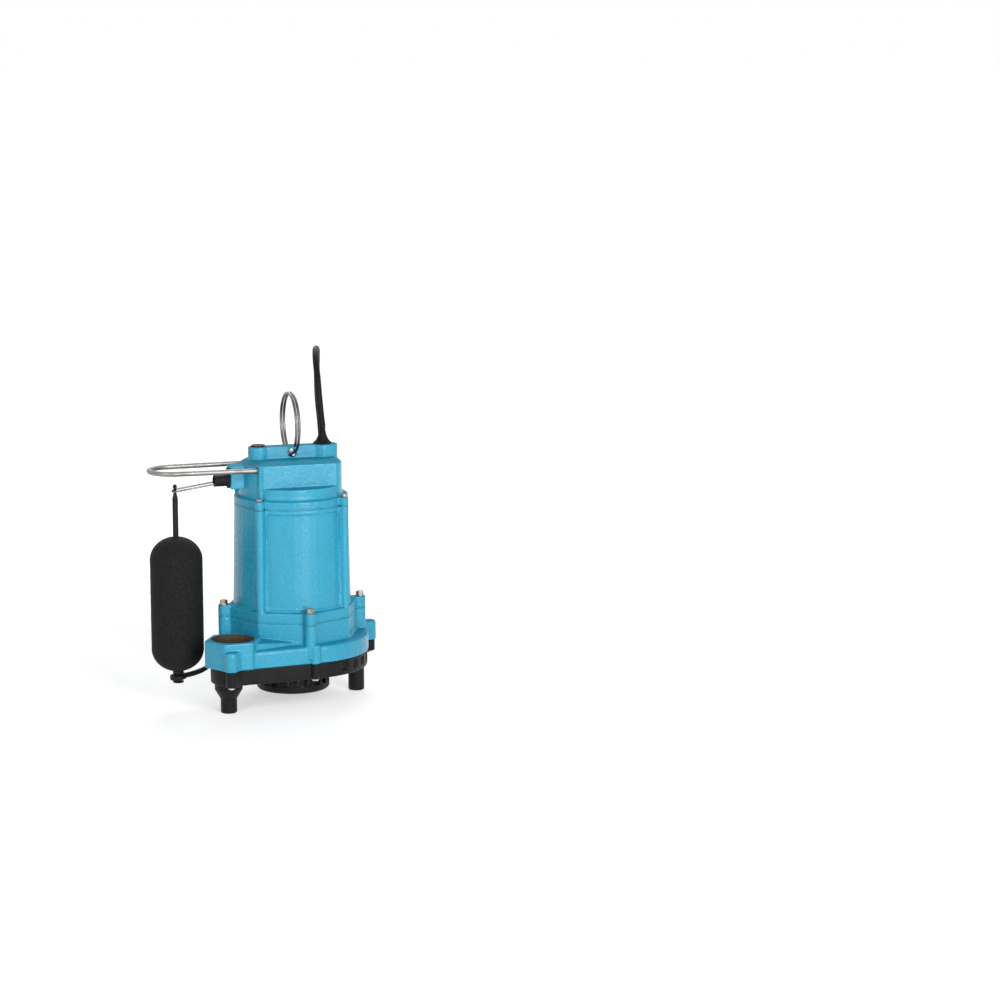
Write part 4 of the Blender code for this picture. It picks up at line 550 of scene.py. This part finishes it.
def layCord(route):
    turns = coilLine(route)
    into = (turns[1] - turns[0]).normalized()
    out = (turns[-1] - turns[-2]).normalized()
    into.z = out.z = 0.0
    straight = route["straight"]
    exitPoint = Vector((route["bossX"], 0.0, route["glandTop"]))
    upright = exitPoint + Vector((0, 0, straight))
    coilEntry = turns[0] - into * straight
    free = smoothThrough([upright, *route["free"], coilEntry - into * straight, coilEntry], 8.0)
    start = turns[-1] + out * straight
    rise = Vector((0, 0, route["plugRise"] - start.z))
    plugEntry = start + out * route["lead"] + rise
    middle = start + out * route["leadMiddle"] + rise * 0.5
    bends = [start, start + out * straight, middle, plugEntry - out * straight, plugEntry]
    line = [exitPoint, *free, *turns, *smoothThrough(bends, 5.0)]
    length = sum((b - a).length for a, b in zip(line, line[1:]))
    cord = tubeCurve("mainsCord", line, route["diameter"] / 2, 5)
    claimPiece(cord, "cordJacket", "pump", ("power_cord", "cord_coil", "cord_tail"))
    print("cord laid, metres:", round(length / 1000, 3))
    return cord, at(*exitPoint), plugEntry, out


cord, cordExit, plugEntry, plugWay = layCord(cordRoute)

plugShape = {
    "start": 0.3, "neck": 18.0, "body": 40.0, "halfWide": 12.5, "halfHigh": 9.5,
    "mouth": ((0.0, 4.2), (0.6, 4.7)),  # along, radius
    "ribs": {"count": 5, "first": 2.0, "apart": 2.6, "radius": 4.9, "growth": 0.35},
    "rib": ((0.0, 0.0), (1.2, 0.5), (1.9, -0.3)),  # along, out from its radius
    "sections": (  # from the neck on: along, share of the width, share of the height
        (-1.5, 0.62, 0.74), (1.5, 0.84, 0.88), (6.0, 1.0, 1.0), (12.0, 0.97, 0.95), (20.0, 0.90, 0.86),
        (28.0, 0.95, 0.94), (33.0, 1.0, 1.0), (38.8, 1.0, 1.0), (39.7, 0.97, 0.97), (40.0, 0.93, 0.93),
    ),
    "bladeLong": 17.5, "bladeThick": 1.5, "bladeWide": 6.3, "bladesApart": 12.7, "bladeLift": 2.5,
    "bladeRoot": 0.4, "bladeTip": 1.6,  # corner radii
    "pinRadius": 2.35, "pinDrop": -5.2, "pinLonger": 4.0,
    "sunk": 1.0,  # of each pin into the face
}


def plugSection(x, wide, high):
    corner = min(wide, high) * 0.45
    acrossAt, upAt = (corner - wide, wide - corner), (corner - high, high - corner)
    corners = [(y, z, corner) for y in acrossAt for z in upAt]
    return [(x, y, z) for y, z in roundOutline(corners, 48)]


def makePlug(shape, entry, way):
    turned = Matrix.Rotation(math.atan2(way.y, way.x), 4, "Z")
    turned = Matrix.Translation(entry + way * shape["start"]) @ turned
    neck, body, wide, high = shape["neck"], shape["body"], shape["halfWide"], shape["halfHigh"]
    necking = [*shape["mouth"]]
    ribs = shape["ribs"]
    for i in range(ribs["count"]):  # the strain relief bends between them
        start, radius = ribs["first"] + i * ribs["apart"], ribs["radius"] + i * ribs["growth"]
        necking += [(start + along, radius + out) for along, out in shape["rib"]]
    sections = [plugSection(along, radius, radius) for along, radius in necking]
    for along, wideShare, highShare in shape["sections"]:
        sections.append(plugSection(neck + along, wide * wideShare, high * highShare))
    moulded = loftMesh(sections)
    pieces = [
        keepPiece("plugBody", moulded, turned, "blackMoulding", "pump", ["plug_body"])
    ]
    face = neck + body
    sunk = face - shape["sunk"]
    half, thick = shape["bladeWide"] / 2, shape["bladeThick"] / 2
    root, tip = shape["bladeRoot"], shape["bladeTip"]
    corners = [(sunk, way * (half - root), root) for way in (-1, 1)]
    corners += [(face + shape["bladeLong"] - tip, way * (half - tip), tip) for way in (-1, 1)]
    outline = [(x, shape["bladeLift"] + z) for x, z in roundOutline(corners, 40)]
    for number, side in ((1, -1), (2, 1)):
        y = side * shape["bladesApart"] / 2
        blade = loftMesh([[(x, y + level, z) for x, z in outline] for level in (-thick, thick)])
        name, node = f"plugBlade{number}", f"plug_blade_{number}"
        pieces.append(keepPiece(name, blade, turned, "brass", "pump", [node]))
    radius = shape["pinRadius"]
    long = shape["bladeLong"] + shape["pinLonger"]
    pin = latheMesh([
        (0, 0), (radius, 0), (radius, long - 2.0), (radius * 0.8, long - 0.8),
        (radius * 0.4, long - 0.1), (0, long),
    ], 32)
    place = turned @ moved(sunk, 0, shape["pinDrop"]) @ Matrix.Rotation(math.pi / 2, 4, "Y")
    pieces.append(keepPiece("plugGroundPin", pin, place, "brass", "pump", ["plug_ground_pin"]))
    return pieces


plugPieces = makePlug(plugShape, plugEntry, plugWay)


# a soft tie round all the turns of the coil, on its far side
tieShape = {
    "clear": 5.6, "above": 5.2, "low": 0.9, "corner": 2.6, "halfWide": 2.6, "thick": 0.9,
    "angle": math.radians(118.0),
}


def makeCoilTie(route, shape):
    reach = route["coilTurns"] * route["coilPitch"] / 2 + shape["clear"]
    inner, outer = route["coilRadius"] - reach, route["coilRadius"] + reach
    low, high = shape["low"], route["coilLow"] + route["coilPitch"] + shape["above"]
    corner, half, thick = shape["corner"], shape["halfWide"], shape["thick"]
    outAt, upAt = (inner + corner, outer - corner), (low + corner, high - corner)
    loop = roundOutline([(r, z, corner) for r in outAt for z in upAt], 40)
    middle = Vector(((inner + outer) / 2, (low + high) / 2))
    rings = []
    for along, pull in ((-half, 0.0), (-half, thick), (half, thick), (half, 0.0)):
        ring = []
        for spot in loop:
            drawn = Vector(spot) - (Vector(spot) - middle).normalized() * pull
            ring.append((drawn.x, along, drawn.y))
        rings.append(ring)
    place = Matrix.Translation((*route["coilMiddle"], 0)) @ Matrix.Rotation(shape["angle"], 4, "Z")
    solid = loftMesh(rings, True)
    return keepPiece("coilTie", solid, place, "blackRubber", "pump", sharp=50.0)


coilTie = makeCoilTie(cordRoute, tieShape)
print("plug and coil tie made")

# the castings and mouldings are taken from the frame and given cast edges
softenedPieces = {
    "motor_housing": {
        "name": "housingCasting", "voxel": 0.85, "rounds": 4,
        "finish": "bluePaint", "slot": "blue_paint", "body": "pump",
    },
    "top_cover": {
        "name": "coverCasting", "voxel": 0.75, "rounds": 4,
        "finish": "bluePaint", "slot": "blue_paint", "body": "pump",
    },
    "volute": {
        "name": "voluteCasting", "voxel": 0.85, "rounds": 5,
        "finish": "bluePaintPort", "slot": "blue_paint", "body": "pump",
    },
    "base": {
        "name": "baseMoulding", "voxel": 0.85, "rounds": 3,
        "finish": "blackMoulding", "slot": "black_moulding", "body": "pump",
    },
    "float_tether": {
        "name": "tetherStrap", "voxel": 0.42, "rounds": 4,
        "finish": "blackRubber", "slot": "black_rubber", "body": "tether",
    },
    "switch_boot": {
        "name": "switchBoot", "voxel": 0.42, "rounds": 4,
        "finish": "blackRubber", "slot": "black_rubber", "body": "pump",
    },
}

# the base's skirt is thin behind its moulded pockets, so it is backed there before it is softened
skirtBacks = {
    "angles": (-60, -48, -36, -24, -12), "radius": 85.6, "growth": 4.0, "behind": (5.6, 2.4),
    "halfWide": 7.0, "low": 45.0, "high": 58.5,
}


def backPockets(solid, shape):
    half = shape["halfWide"]
    for degrees in shape["angles"]:
        angle = math.radians(degrees)
        radius = shape["radius"] + shape["growth"] * math.cos(angle)
        far, near = (radius - depth for depth in shape["behind"])
        block = blockMesh((far, -half, shape["low"]), (near, half, shape["high"]))
        block.transform(fromMillimetres @ Matrix.Rotation(angle, 4, "Z"))
        joinMeshes(solid, block)


# under its flat front the cover is round again, down to its flange
frontSkirt = {
    "levels": ((247.9, 66.4), (250.0, 63.8), (253.4, 62.6), (262.2, 62.6)),  # height, radius
    "halfWide": 44.0, "back": -38.0, "steps": 40,
}


def addFrontSkirt(solid, shape):
    rings = []
    half, back = shape["halfWide"], shape["back"]
    for height, radius in shape["levels"]:
        end = math.asin(half / radius)
        turns = [end * (2 * i / shape["steps"] - 1) for i in range(shape["steps"] + 1)]
        ring = [(radius * math.sin(a), -radius * math.cos(a), height) for a in turns]
        rings.append([*ring, (half, back, height), (-half, back, height)])
    skirt = loftMesh(rings)
    skirt.transform(fromMillimetres)
    joinMeshes(solid, skirt)


def softenMesh(made, voxel, rounds, kept):
    # kept is the share of the faces that stay
    remesh = made.modifiers.new("voxels", "REMESH")
    remesh.mode = "VOXEL"
    remesh.voxel_size = voxel
    smooth = made.modifiers.new("castEdges", "SMOOTH")
    smooth.factor = 0.5
    smooth.iterations = rounds
    settleModifiers(made)
    if kept < 1.0:
        thin = made.modifiers.new("thin", "DECIMATE")
        thin.ratio = kept
        settleModifiers(made)


def softenNode(node, look):
    data = nodes[node].data.copy()
    made = linkObject(look["name"], data)
    solid = bmesh.new()
    solid.from_mesh(data)
    bmesh.ops.remove_doubles(solid, verts=solid.verts, dist=0.000001)
    if node == "base":
        backPockets(solid, skirtBacks)
    elif node == "top_cover":
        addFrontSkirt(solid, frontSkirt)
    solid.to_mesh(data)
    solid.free()
    coarse, kept = ((1.0, 0.3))
    softenMesh(made, look["voxel"] / 1000 * coarse, look["rounds"], kept)
    claimPiece(made, look["finish"], look["body"], [node], 60.0)
    print("softened", node, len(made.data.polygons))
    return made


# the strap is stouter than its solid, away from the pin that it turns on
strapSwell = {"clear": 9.0, "full": 16.0, "up": 0.4, "down": 1.2, "side": 1.0}


def swellStrap(made, shape):
    low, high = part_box("tether_pin")
    pin = (low + high) / 2
    for vert in made.data.vertices:
        far = math.hypot(vert.co.x - pin.x, vert.co.z - pin.z) * 1000
        share = min(max((far - shape["clear"]) / (shape["full"] - shape["clear"]), 0.0), 1.0) / 1000
        way = vert.normal
        rise = way.z * (shape["up"] if way.z > 0 else shape["down"])
        vert.co += Vector((0, way.y * shape["side"], rise)) * share


softened = {node: softenNode(node, look) for node, look in softenedPieces.items()}
swellStrap(softened["float_tether"], strapSwell)

fastenerShape = {
    "coverScrew": {
        "nodes": "cover_screw_", "finish": "boltSteel", "under": False,
        "washer": 4.6, "washerHigh": 0.7, "hex": 3.7, "high": 3.0, "slot": 0.9, "slotDeep": 0.8,
    },
    "housingBolt": {
        "nodes": "housing_bolt_", "finish": "boltSteel", "under": False,
        "washer": 5.6, "washerHigh": 1.1, "hex": 4.7, "high": 5.6, "slot": 1.2, "slotDeep": 1.1,
    },
    "baseScrew": {
        "nodes": "base_screw_", "finish": "brightScrew", "under": True,
        "washer": 4.8, "washerHigh": 0.8, "hex": 3.9, "high": 2.6, "slot": 1.0, "slotDeep": 0.8,
    },
}
headDome = ((0.9, 0.98), (0.45, 0.95), (0.12, 0.86), (0.0, 0.74))  # below the top, share of the corner


def fastenerMesh(shape):
    # a hexagon head on a washer face, domed by the die, with a screwdriver slot
    washer, rim, corner, high = shape["washer"], shape["washerHigh"], shape["hex"], shape["high"]
    plate = latheMesh([
        (0, 0), (washer * 0.93, 0), (washer, 0.25), (washer * 0.97, rim * 0.7), (washer * 0.86, rim),
        (0, rim),
    ], 36)
    sixth = math.pi / 6
    rings = []
    for z, share in ((0.1, 0.98), *((high - down, share) for down, share in headDome)):
        ring = []
        for i in range(48):
            angle = 2 * math.pi * i / 48
            flat = corner * math.cos(sixth) / math.cos((angle + sixth) % (math.pi / 3) - sixth)
            radius = min(flat * 0.99, corner * share) if share < 0.97 else flat * 0.98
            ring.append((radius * math.cos(angle), radius * math.sin(angle), z))
        rings.append(ring)
    made = solidObject("head", loftMesh(rings))
    long, half = corner * 1.4, shape["slot"] / 2
    cutter = blockMesh((-long, -half, high - shape["slotDeep"]), (long, half, high + 2))
    tool = solidObject("slot", cutter)
    step = made.modifiers.new("slot", "BOOLEAN")
    step.operation = "DIFFERENCE"
    step.object = tool
    settleModifiers(made)
    plate.from_mesh(made.data)
    bpy.data.objects.remove(tool)
    bpy.data.objects.remove(made)
    return plate


def putFasteners(families):
    placed = 0
    for family, shape in families.items():
        for node in sorted(name for name in nodes if name.startswith(shape["nodes"])):
            low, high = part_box(node)
            middle = (low + high) / 2 - axisFoot
            turn = Matrix.Rotation(0.9 * placed, 4, "Z")
            if shape["under"]:
                seat = low.z * 1000 + shape["high"]
                turn = Matrix.Rotation(math.pi, 4, "X") @ turn
            else:
                seat = high.z * 1000 - shape["high"]
            place = moved(middle.x * 1000, middle.y * 1000, seat) @ turn
            name = family + node[len(shape["nodes"]):].capitalize()
            head = fastenerMesh(shape)
            keepPiece(name, head, place, shape["finish"], "pump", [node], 25.0)
            placed += 1
    print("fasteners placed:", placed)


putFasteners(fastenerShape)

# the joints show as thin lines, almost flush with the castings beside them
seamShape = {
    "coverLevel": 239.0, "coverRadius": 67.4, "voluteLevel": 105.5, "inner": 64.3, "spigot": 51.5,
    "section": (  # out from the radius, up from the level
        (-0.75, -1.7), (0.0, -0.6), (0.0, -0.3), (-0.3, -0.2),
        (-0.3, 0.2), (0.0, 0.3), (0.0, 0.6), (-0.75, 1.7),
    ),
    "flange": ((74.2, 6.0, 0.0), (72.2, 5.2, 0.5)),  # four columns each: out, radius, quarter turns
    "screwCircle": 72.2, "screwEar": 5.2, "boltCircle": 83.6, "boltEar": 6.8, "earDepth": 5.0,
}


def earBands(shape, circle, radius, level, firstTurn):
    # the same band round the ears that stand out from a joint
    low, high = shape["section"][0][1], shape["section"][-1][1]
    profile = [(0, low), *((radius + out, up) for out, up in shape["section"]), (0, high)]
    made = []
    for i in range(4):
        angle = firstTurn + math.pi / 2 * i
        ear = latheMesh(profile, 48)
        ear.transform(moved(circle * math.cos(angle), circle * math.sin(angle), level))
        made.append(ear)
    return made


def makeSeams(shape):
    # each is a flush band that fills what the rounded castings leave, with a fine groove along it
    level, inner = shape["coverLevel"], shape["inner"]
    half = shape["section"][-1][1]
    profile = [(shape["coverRadius"] + out, level + up) for out, up in shape["section"]]
    ring = latheMesh([*profile, (inner, level + half), (inner, level - half)], 144, True)
    ears = earBands(shape, shape["screwCircle"], shape["screwEar"], level, math.pi / 4)
    seam = joinMeshes(ring, *ears)
    keepPiece("coverSeam", seam, moved(0, 0), "seamLine", "pump", ["cover_gasket"])
    level = shape["voluteLevel"]
    columns = []
    for far, radius, first in shape["flange"]:
        turns = [math.pi / 2 * (i + first) for i in range(4)]
        columns += [(far * math.cos(a), far * math.sin(a), radius) for a in turns]
    lines = []
    for out, up in shape["section"]:
        lines.append((roundOutline([(x, y, r + out) for x, y, r in columns], 144), up))
    spigot = shape["spigot"]
    hole = [(spigot * x / math.hypot(x, y), spigot * y / math.hypot(x, y)) for x, y in lines[0][0]]
    lines += [(hole, half), (hole, -half)]
    band = loftMesh([[(*spot, level + up) for spot in line] for line, up in lines], True)
    circle, radius = shape["boltCircle"], shape["boltEar"]
    ears = earBands(shape, circle, radius, level, 0.0)
    ears += earBands(shape, circle - shape["earDepth"], radius, level, 0.0)
    seam = joinMeshes(band, *ears)
    keepPiece("voluteSeam", seam, moved(0, 0), "seamLine", "pump", ["volute_gasket"])


makeSeams(seamShape)

bailShape = {
    "radius": 3.0, "half": 28.0, "z": 282.8, "bendX": -141.5,
    "endX": -45.0, "frontEndY": -34.0, "backEndY": 30.0,
}


def makeBail(shape):
    half, z = shape["half"], shape["z"]
    bend = []
    for i in range(49):
        angle = math.pi * i / 48
        bend.append((shape["bendX"] - half * math.sin(angle), -half * math.cos(angle), z))
    line = [(shape["endX"], shape["frontEndY"], z), *bend, (shape["endX"], shape["backEndY"], z)]
    rod = tubeCurve("guardBail", line, shape["radius"])
    claimPiece(rod, "stainlessRod", "pump", ["guard_bail"])


makeBail(bailShape)

ringShape = {
    "outer": 38.0, "wire": 1.6, "gap": 0.5, "hole": 5.2, "play": 0.3, "holeZ": 298.2,
    "splitAt": math.radians(280.0), "cross": 1.0 / 9.0, "perTurn": 90,
}


def makeRing(shape):
    mean = shape["outer"] - shape["wire"]
    step = shape["wire"] + shape["gap"] / 2
    drop = math.sqrt((shape["hole"] - shape["play"] - shape["wire"]) ** 2 - step ** 2)
    middle = shape["holeZ"] - drop + mean
    line = []
    perTurn, cross = shape["perTurn"], shape["cross"]
    for i in range(2 * perTurn - round(cross * perTurn) + 1):
        turn = i / perTurn
        share = min(max((turn - 1 + cross) / cross, 0.0), 1.0)
        across = step * (1 - 2 * share * share * (3 - 2 * share))
        angle = shape["splitAt"] - 2 * math.pi * turn
        line.append((across, -mean * math.cos(angle), middle + mean * math.sin(angle)))
    ring = tubeCurve("liftingRing", line, shape["wire"], 5)
    claimPiece(ring, "ringSteel", "ring", ["lifting_ring"])


makeRing(ringShape)

armShape = {
    "pivot": (-70.0, 0, 268.6), "eye": (-139.8, 0, 258.8), "wire": 1.0, "half": 3.2,
    "roll": math.radians(-16.0), "hub": 3.6, "hubHalf": 4.4, "bore": 1.8, "rooted": 1.2,
    "finger": ((-2.2, -9.0, -3.0), (2.2, -3.0, 3.0)),  # it presses the plunger
}


def makeArm(shape):
    pivot, eye, half = Vector(shape["pivot"]), Vector(shape["eye"]), shape["half"]
    way = (eye - pivot).normalized()
    hubEnd = pivot + way * (shape["hub"] - shape["rooted"])
    across = Matrix.Rotation(shape["roll"], 3, way) @ Vector((0, -1, 0))
    turns = [math.pi * i / 24 for i in range(25)]
    bend = [eye + half * (across * math.cos(a) + way * math.sin(a)) for a in turns]
    line = [hubEnd + across * half, *bend, hubEnd - across * half]
    hairpin = tubeCurve("armHairpin", line, shape["wire"], 5)
    claimPiece(hairpin, "ringSteel", "arm", ["float_arm"])
    low, high = -shape["hubHalf"], shape["hubHalf"]
    corners = [(shape["bore"], low), (shape["hub"], low), (shape["hub"], high), (shape["bore"], high)]
    hub = latheMesh(corners, 40, True)
    finger = blockMesh(*shape["finger"])
    bmesh.ops.bevel(finger, geom=finger.edges[:], offset=0.4, segments=2, affect="EDGES")
    place = Matrix.Translation(pivot) @ Matrix.Rotation(-math.pi / 2, 4, "X")
    hub = joinMeshes(hub, finger)
    keepPiece("armHub", hub, place, "ringSteel", "arm", ["float_arm"])


makeArm(armShape)
print("rods, ring and arm made")

floatShape = {
    "middle": -139.8, "radius": 31.0, "dome": 27.0, "low": 43.0, "top": 204.2, "bore": 2.7,
    "rodInner": 2.4, "rod": 3.3, "neck": 1.8, "neckHalf": 3.2, "tip": 2.6, "tipHigh": 4.5, "eye": 258.8,
    "headLow": 29.0, "headThick": 1.8, "head": 6.4, "retainer": 6.4, "retainerLow": 40.0,
    "lumps": 0.16, "lumpSpacing": 4.5, "lumpNoise": (0.9, 2.1, 3),
}


def makeFloat(shape):
    steps, rings = ((96, 22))
    bore, radius = shape["bore"], shape["radius"]
    startAngle = math.asin(bore / radius)
    dome = []
    for i in range(rings + 1):
        angle = startAngle + (math.pi / 2 - startAngle) * i / rings
        dome.append((radius * math.sin(angle), shape["dome"] * (1 - math.cos(angle))))
    low, top = shape["low"], shape["top"]
    straight = low + shape["dome"]
    rise = top - shape["dome"] - straight
    profile = [(r, low + h) for r, h in dome]
    profile += [(radius, straight + rise * i / 24) for i in range(1, 24)]
    profile += [(r, top - h) for r, h in reversed(dome)]
    skin = latheMesh(profile, steps, True)
    for vert in skin.verts:
        away = Vector((vert.co.x, vert.co.y, 0))
        if away.length > bore + 2:
            spot = vert.co / shape["lumpSpacing"]
            push = noise.fractal(spot, *shape["lumpNoise"], noise_basis="PERLIN_ORIGINAL")
            vert.co += away.normalized() * (push * shape["lumps"] - shape["lumps"])
    place = moved(shape["middle"], 0)
    keepPiece("floatBody", skin, place, "floatSkin", "float", ["float_body"], 50.0)
    # the rod, from its headed foot to its rounded tip
    inner, outer, neck, tip = shape["rodInner"], shape["rod"], shape["neck"], shape["tip"]
    head, headLow = shape["head"], shape["headLow"]
    headTop = headLow + shape["headThick"]
    neckLow, tipLow = shape["eye"] - shape["neckHalf"], shape["eye"] + shape["neckHalf"]
    rod = latheMesh([
        (0, headLow), (head - 0.4, headLow), (head, headLow + 0.4), (head, headTop - 0.4),
        (head - 0.4, headTop), (inner + 0.3, headTop), (inner, headTop + 0.3), (inner, top + 0.3),
        (outer, top + 0.3), (outer, neckLow - 6.5), (outer * 0.94, neckLow - 5.0),
        (neck * 1.15, neckLow - 0.8), (neck, neckLow), (neck, tipLow), (tip, tipLow + 0.6),
        (tip, tipLow + 1.6), (tip * 0.85, tipLow + 3.0), (tip * 0.45, tipLow + 4.2),
        (0, tipLow + shape["tipHigh"]),
    ], 40)
    keepPiece("floatRod", rod, place, "blackRubber", "float", ["float_rod"], 40.0)
    hole, wide, foot = bore - 0.1, shape["retainer"], shape["retainerLow"]
    disc = latheMesh([
        (hole, foot), (wide - 0.5, foot), (wide, foot + 0.5), (wide, low - 0.4),
        (wide - 0.4, low + 0.4), (hole, low),
    ], 40, True)
    keepPiece(
        "floatRetainer", disc, place, "blackRubber", "float", ["float_retainer"], 40.0,
    )


makeFloat(floatShape)
print("float and rod made")

# the profiles are radii, and heights over the face of their boss
coverFittings = {
    "topFace": 306.5, "bossX": 39.2,
    "plug": (
        (0, -7.5), (6.0, -7.5), (6.0, 0.3), (8.3, 0.3), (8.6, 0.5), (8.6, 1.2), (8.2, 1.7),
        (7.4, 1.8), (6.2, 1.8), (5.9, 1.3), (3.0, 1.3), (0, 1.3),
    ),
    "gland": ((0, -9.7), (7.5, -9.7), (7.5, 0.3), (10.5, 0.3), (10.8, 0.6), (10.8, 1.5), (10.4, 2.0)),
    "bell": {"low": 2.0, "top": 14.4, "wide": 9.6, "neck": 4.1, "curve": 1.9, "rib": 0.25, "steps": 12},
    "mouth": ((4.0, 14.9), (0, 15.0)),
}


def makeCoverFittings(shape):
    top, bell = moved(0, 0, shape["topFace"]), shape["bell"]
    plug = latheMesh(shape["plug"], 48)
    place = moved(-shape["bossX"], 0) @ top
    keepPiece("bossPlug", plug, place, "blackMoulding", "pump", ["cover_plug"], 40.0)
    profile = [*shape["gland"]]
    for i in range(1, bell["steps"] + 1):  # it draws in to the cord, ribbed near its top
        share = i / bell["steps"]
        radius = bell["neck"] + (bell["wide"] - bell["neck"]) * (1 - share) ** bell["curve"]
        height = bell["low"] + (bell["top"] - bell["low"]) * share
        profile.append((radius + (bell["rib"] if i % 2 and i > 4 else 0.0), height))
    gland = latheMesh([*profile, *shape["mouth"]], 48)
    place = moved(shape["bossX"], 0) @ top
    keepPiece(
        "cordStrainRelief", gland, place, "cordJacket", "pump",
        ["cord_strain_relief"], 50.0,
    )


makeCoverFittings(coverFittings)

portThread = {
    "pitch": 2.21, "radius": 24.25, "crest": 1.15, "rootHalf": 0.95, "crestHalf": 0.12,
    "low": 76.5, "turns": 6.2, "steps": 60, "fade": 20, "x": -89.2, "y": -68.0,
}


def makePortThread(shape):
    rings = []
    total = round(shape["turns"] * shape["steps"])
    radius, root, flat = shape["radius"], shape["rootHalf"], shape["crestHalf"]
    for i in range(total + 1):
        angle = 2 * math.pi * i / shape["steps"]
        z = shape["low"] + shape["pitch"] * i / shape["steps"]
        fade = min(1.0, i / shape["fade"], (total - i) / shape["fade"])
        crest = radius - shape["crest"] * fade
        section = ((radius, -root), (crest, -flat), (crest, flat), (radius, root))
        rings.append([(r * math.cos(angle), r * math.sin(angle), z + h) for r, h in section])
    place = moved(shape["x"], shape["y"])
    keepPiece("portThread", loftMesh(rings), place, "bareIron", "pump", sharp=40.0)


makePortThread(portThread)
print("fittings and port thread made")

strainerShape = {
    "radius": 43.4, "wall": 2.6, "low": 13.8, "edge": 2.0, "floor": 3.0, "slotLow": 22.5,
    "slotTop": 37.5, "top": 51.9, "posts": 20, "postWide": 4.2, "voxel": 0.6,
}


def makeStrainer(shape):
    radius, low, edge = shape["radius"], shape["low"], shape["edge"]
    inside, half, floor = radius - shape["wall"], shape["postWide"] / 2, low + shape["floor"]
    slotLow, slotTop, top = shape["slotLow"], shape["slotTop"], shape["top"]
    dish = latheMesh([
        (0, low), (radius - edge, low), (radius, low + edge), (radius, slotLow), (inside, slotLow),
        (inside, floor), (0, floor),
    ], 96)
    collar = [(radius, slotTop), (radius, top), (inside, top), (inside, slotTop)]
    solids = [latheMesh(collar, 96, True)]
    for i in range(shape["posts"]):
        post = blockMesh((inside + 0.1, -half, slotLow - 1), (radius - 0.25, half, slotTop + 1))
        post.transform(Matrix.Rotation(2 * math.pi * i / shape["posts"], 4, "Z"))
        solids.append(post)
    basket = joinMeshes(dish, *solids)
    basket.transform(fromMillimetres)
    made = solidObject("strainerBasket", basket)
    softenMesh(made, shape["voxel"] / 1000 * (1), 2, 0.35)
    claimPiece(made, "blackMoulding", "pump", ["strainer"], 60.0)


makeStrainer(strainerShape)
print("strainer made")

studio = {
    "floorRadius": 34,
    "floorColour": (0.86, 0.86, 0.86),
    "floorRough": 0.85,
    "floorShine": 0.2,
    "floorGlow": (0.52, 0.85),  # near the pump and far from it
    "glowReach": (0.5, 3.0),
    "worldStrength": 0.18,
    "aim": (0, 0, 170),
    "lamps": {
        "keyLamp": {"place": (520, -2450, 950), "wide": 0.9, "high": 1.8, "power": 47.0},
        "fillLamp": {"place": (-1750, -1800, 900), "wide": 1.2, "high": 1.2, "power": 18.0},
        "backLamp": {"place": (500, 1500, 1700), "wide": 1.6, "high": 1.0, "power": 16.0},
    },
}


def seenDirectly(tree):
    path = tree.nodes.new("ShaderNodeLightPath")
    first = calculate(tree, "MAXIMUM", path.outputs["Is Camera Ray"], path.outputs["Is Glossy Ray"])
    return calculate(tree, "MAXIMUM", first, path.outputs["Is Transmission Ray"])


def makeStudio(setting):
    bpy.ops.mesh.primitive_circle_add(
        vertices=96, radius=setting["floorRadius"], fill_type="NGON", location=(0, 0, 0),
    )
    floor = bpy.context.object
    floor.name = "studioFloor"
    material, tree, shader = startMaterial("paleFloor")
    shader.inputs["Roughness"].default_value = setting["floorRough"]
    shader.inputs["Specular IOR Level"].default_value = setting["floorShine"]
    pale = setting["floorColour"]
    tones = mixColours(tree, noiseField(tree, 2.0), pale, tuple(v * 1.02 for v in pale))
    tree.links.new(tones, shader.inputs["Base Color"])
    shader.inputs["Emission Color"].default_value = (1, 1, 1, 1)
    reach = tree.nodes.new("ShaderNodeVectorMath")
    reach.operation = "LENGTH"
    tree.links.new(addNode(tree, "TexCoord").outputs["Object"], reach.inputs[0])
    glow = spread(tree, reach.outputs["Value"], *setting["floorGlow"], *setting["glowReach"])
    seen = calculate(tree, "MULTIPLY", seenDirectly(tree), glow)
    tree.links.new(seen, shader.inputs["Emission Strength"])
    floor.data.materials.append(material)
    world = bpy.data.worlds.new("studioWorld")
    bpy.context.scene.world = world
    world.use_nodes = True
    tree = world.node_tree
    back = tree.nodes["Background"]
    back.inputs["Color"].default_value = (1, 1, 1, 1)
    light = mixValues(tree, seenDirectly(tree), setting["worldStrength"], 1.0)
    tree.links.new(light, back.inputs["Strength"])
    for name, lamp in setting["lamps"].items():
        data = bpy.data.lights.new(name, "AREA")
        data.energy = lamp["power"]
        data.shape = "RECTANGLE"
        data.size, data.size_y = lamp["wide"], lamp["high"]
        made = linkObject(name, data)
        made.location = at(*lamp["place"])
        aim = at(*setting["aim"]) - made.location
        made.rotation_euler = aim.to_track_quat("-Z", "Y").to_euler()


makeStudio(studio)
bpy.context.scene.view_settings.view_transform = "Standard"
print("studio set")
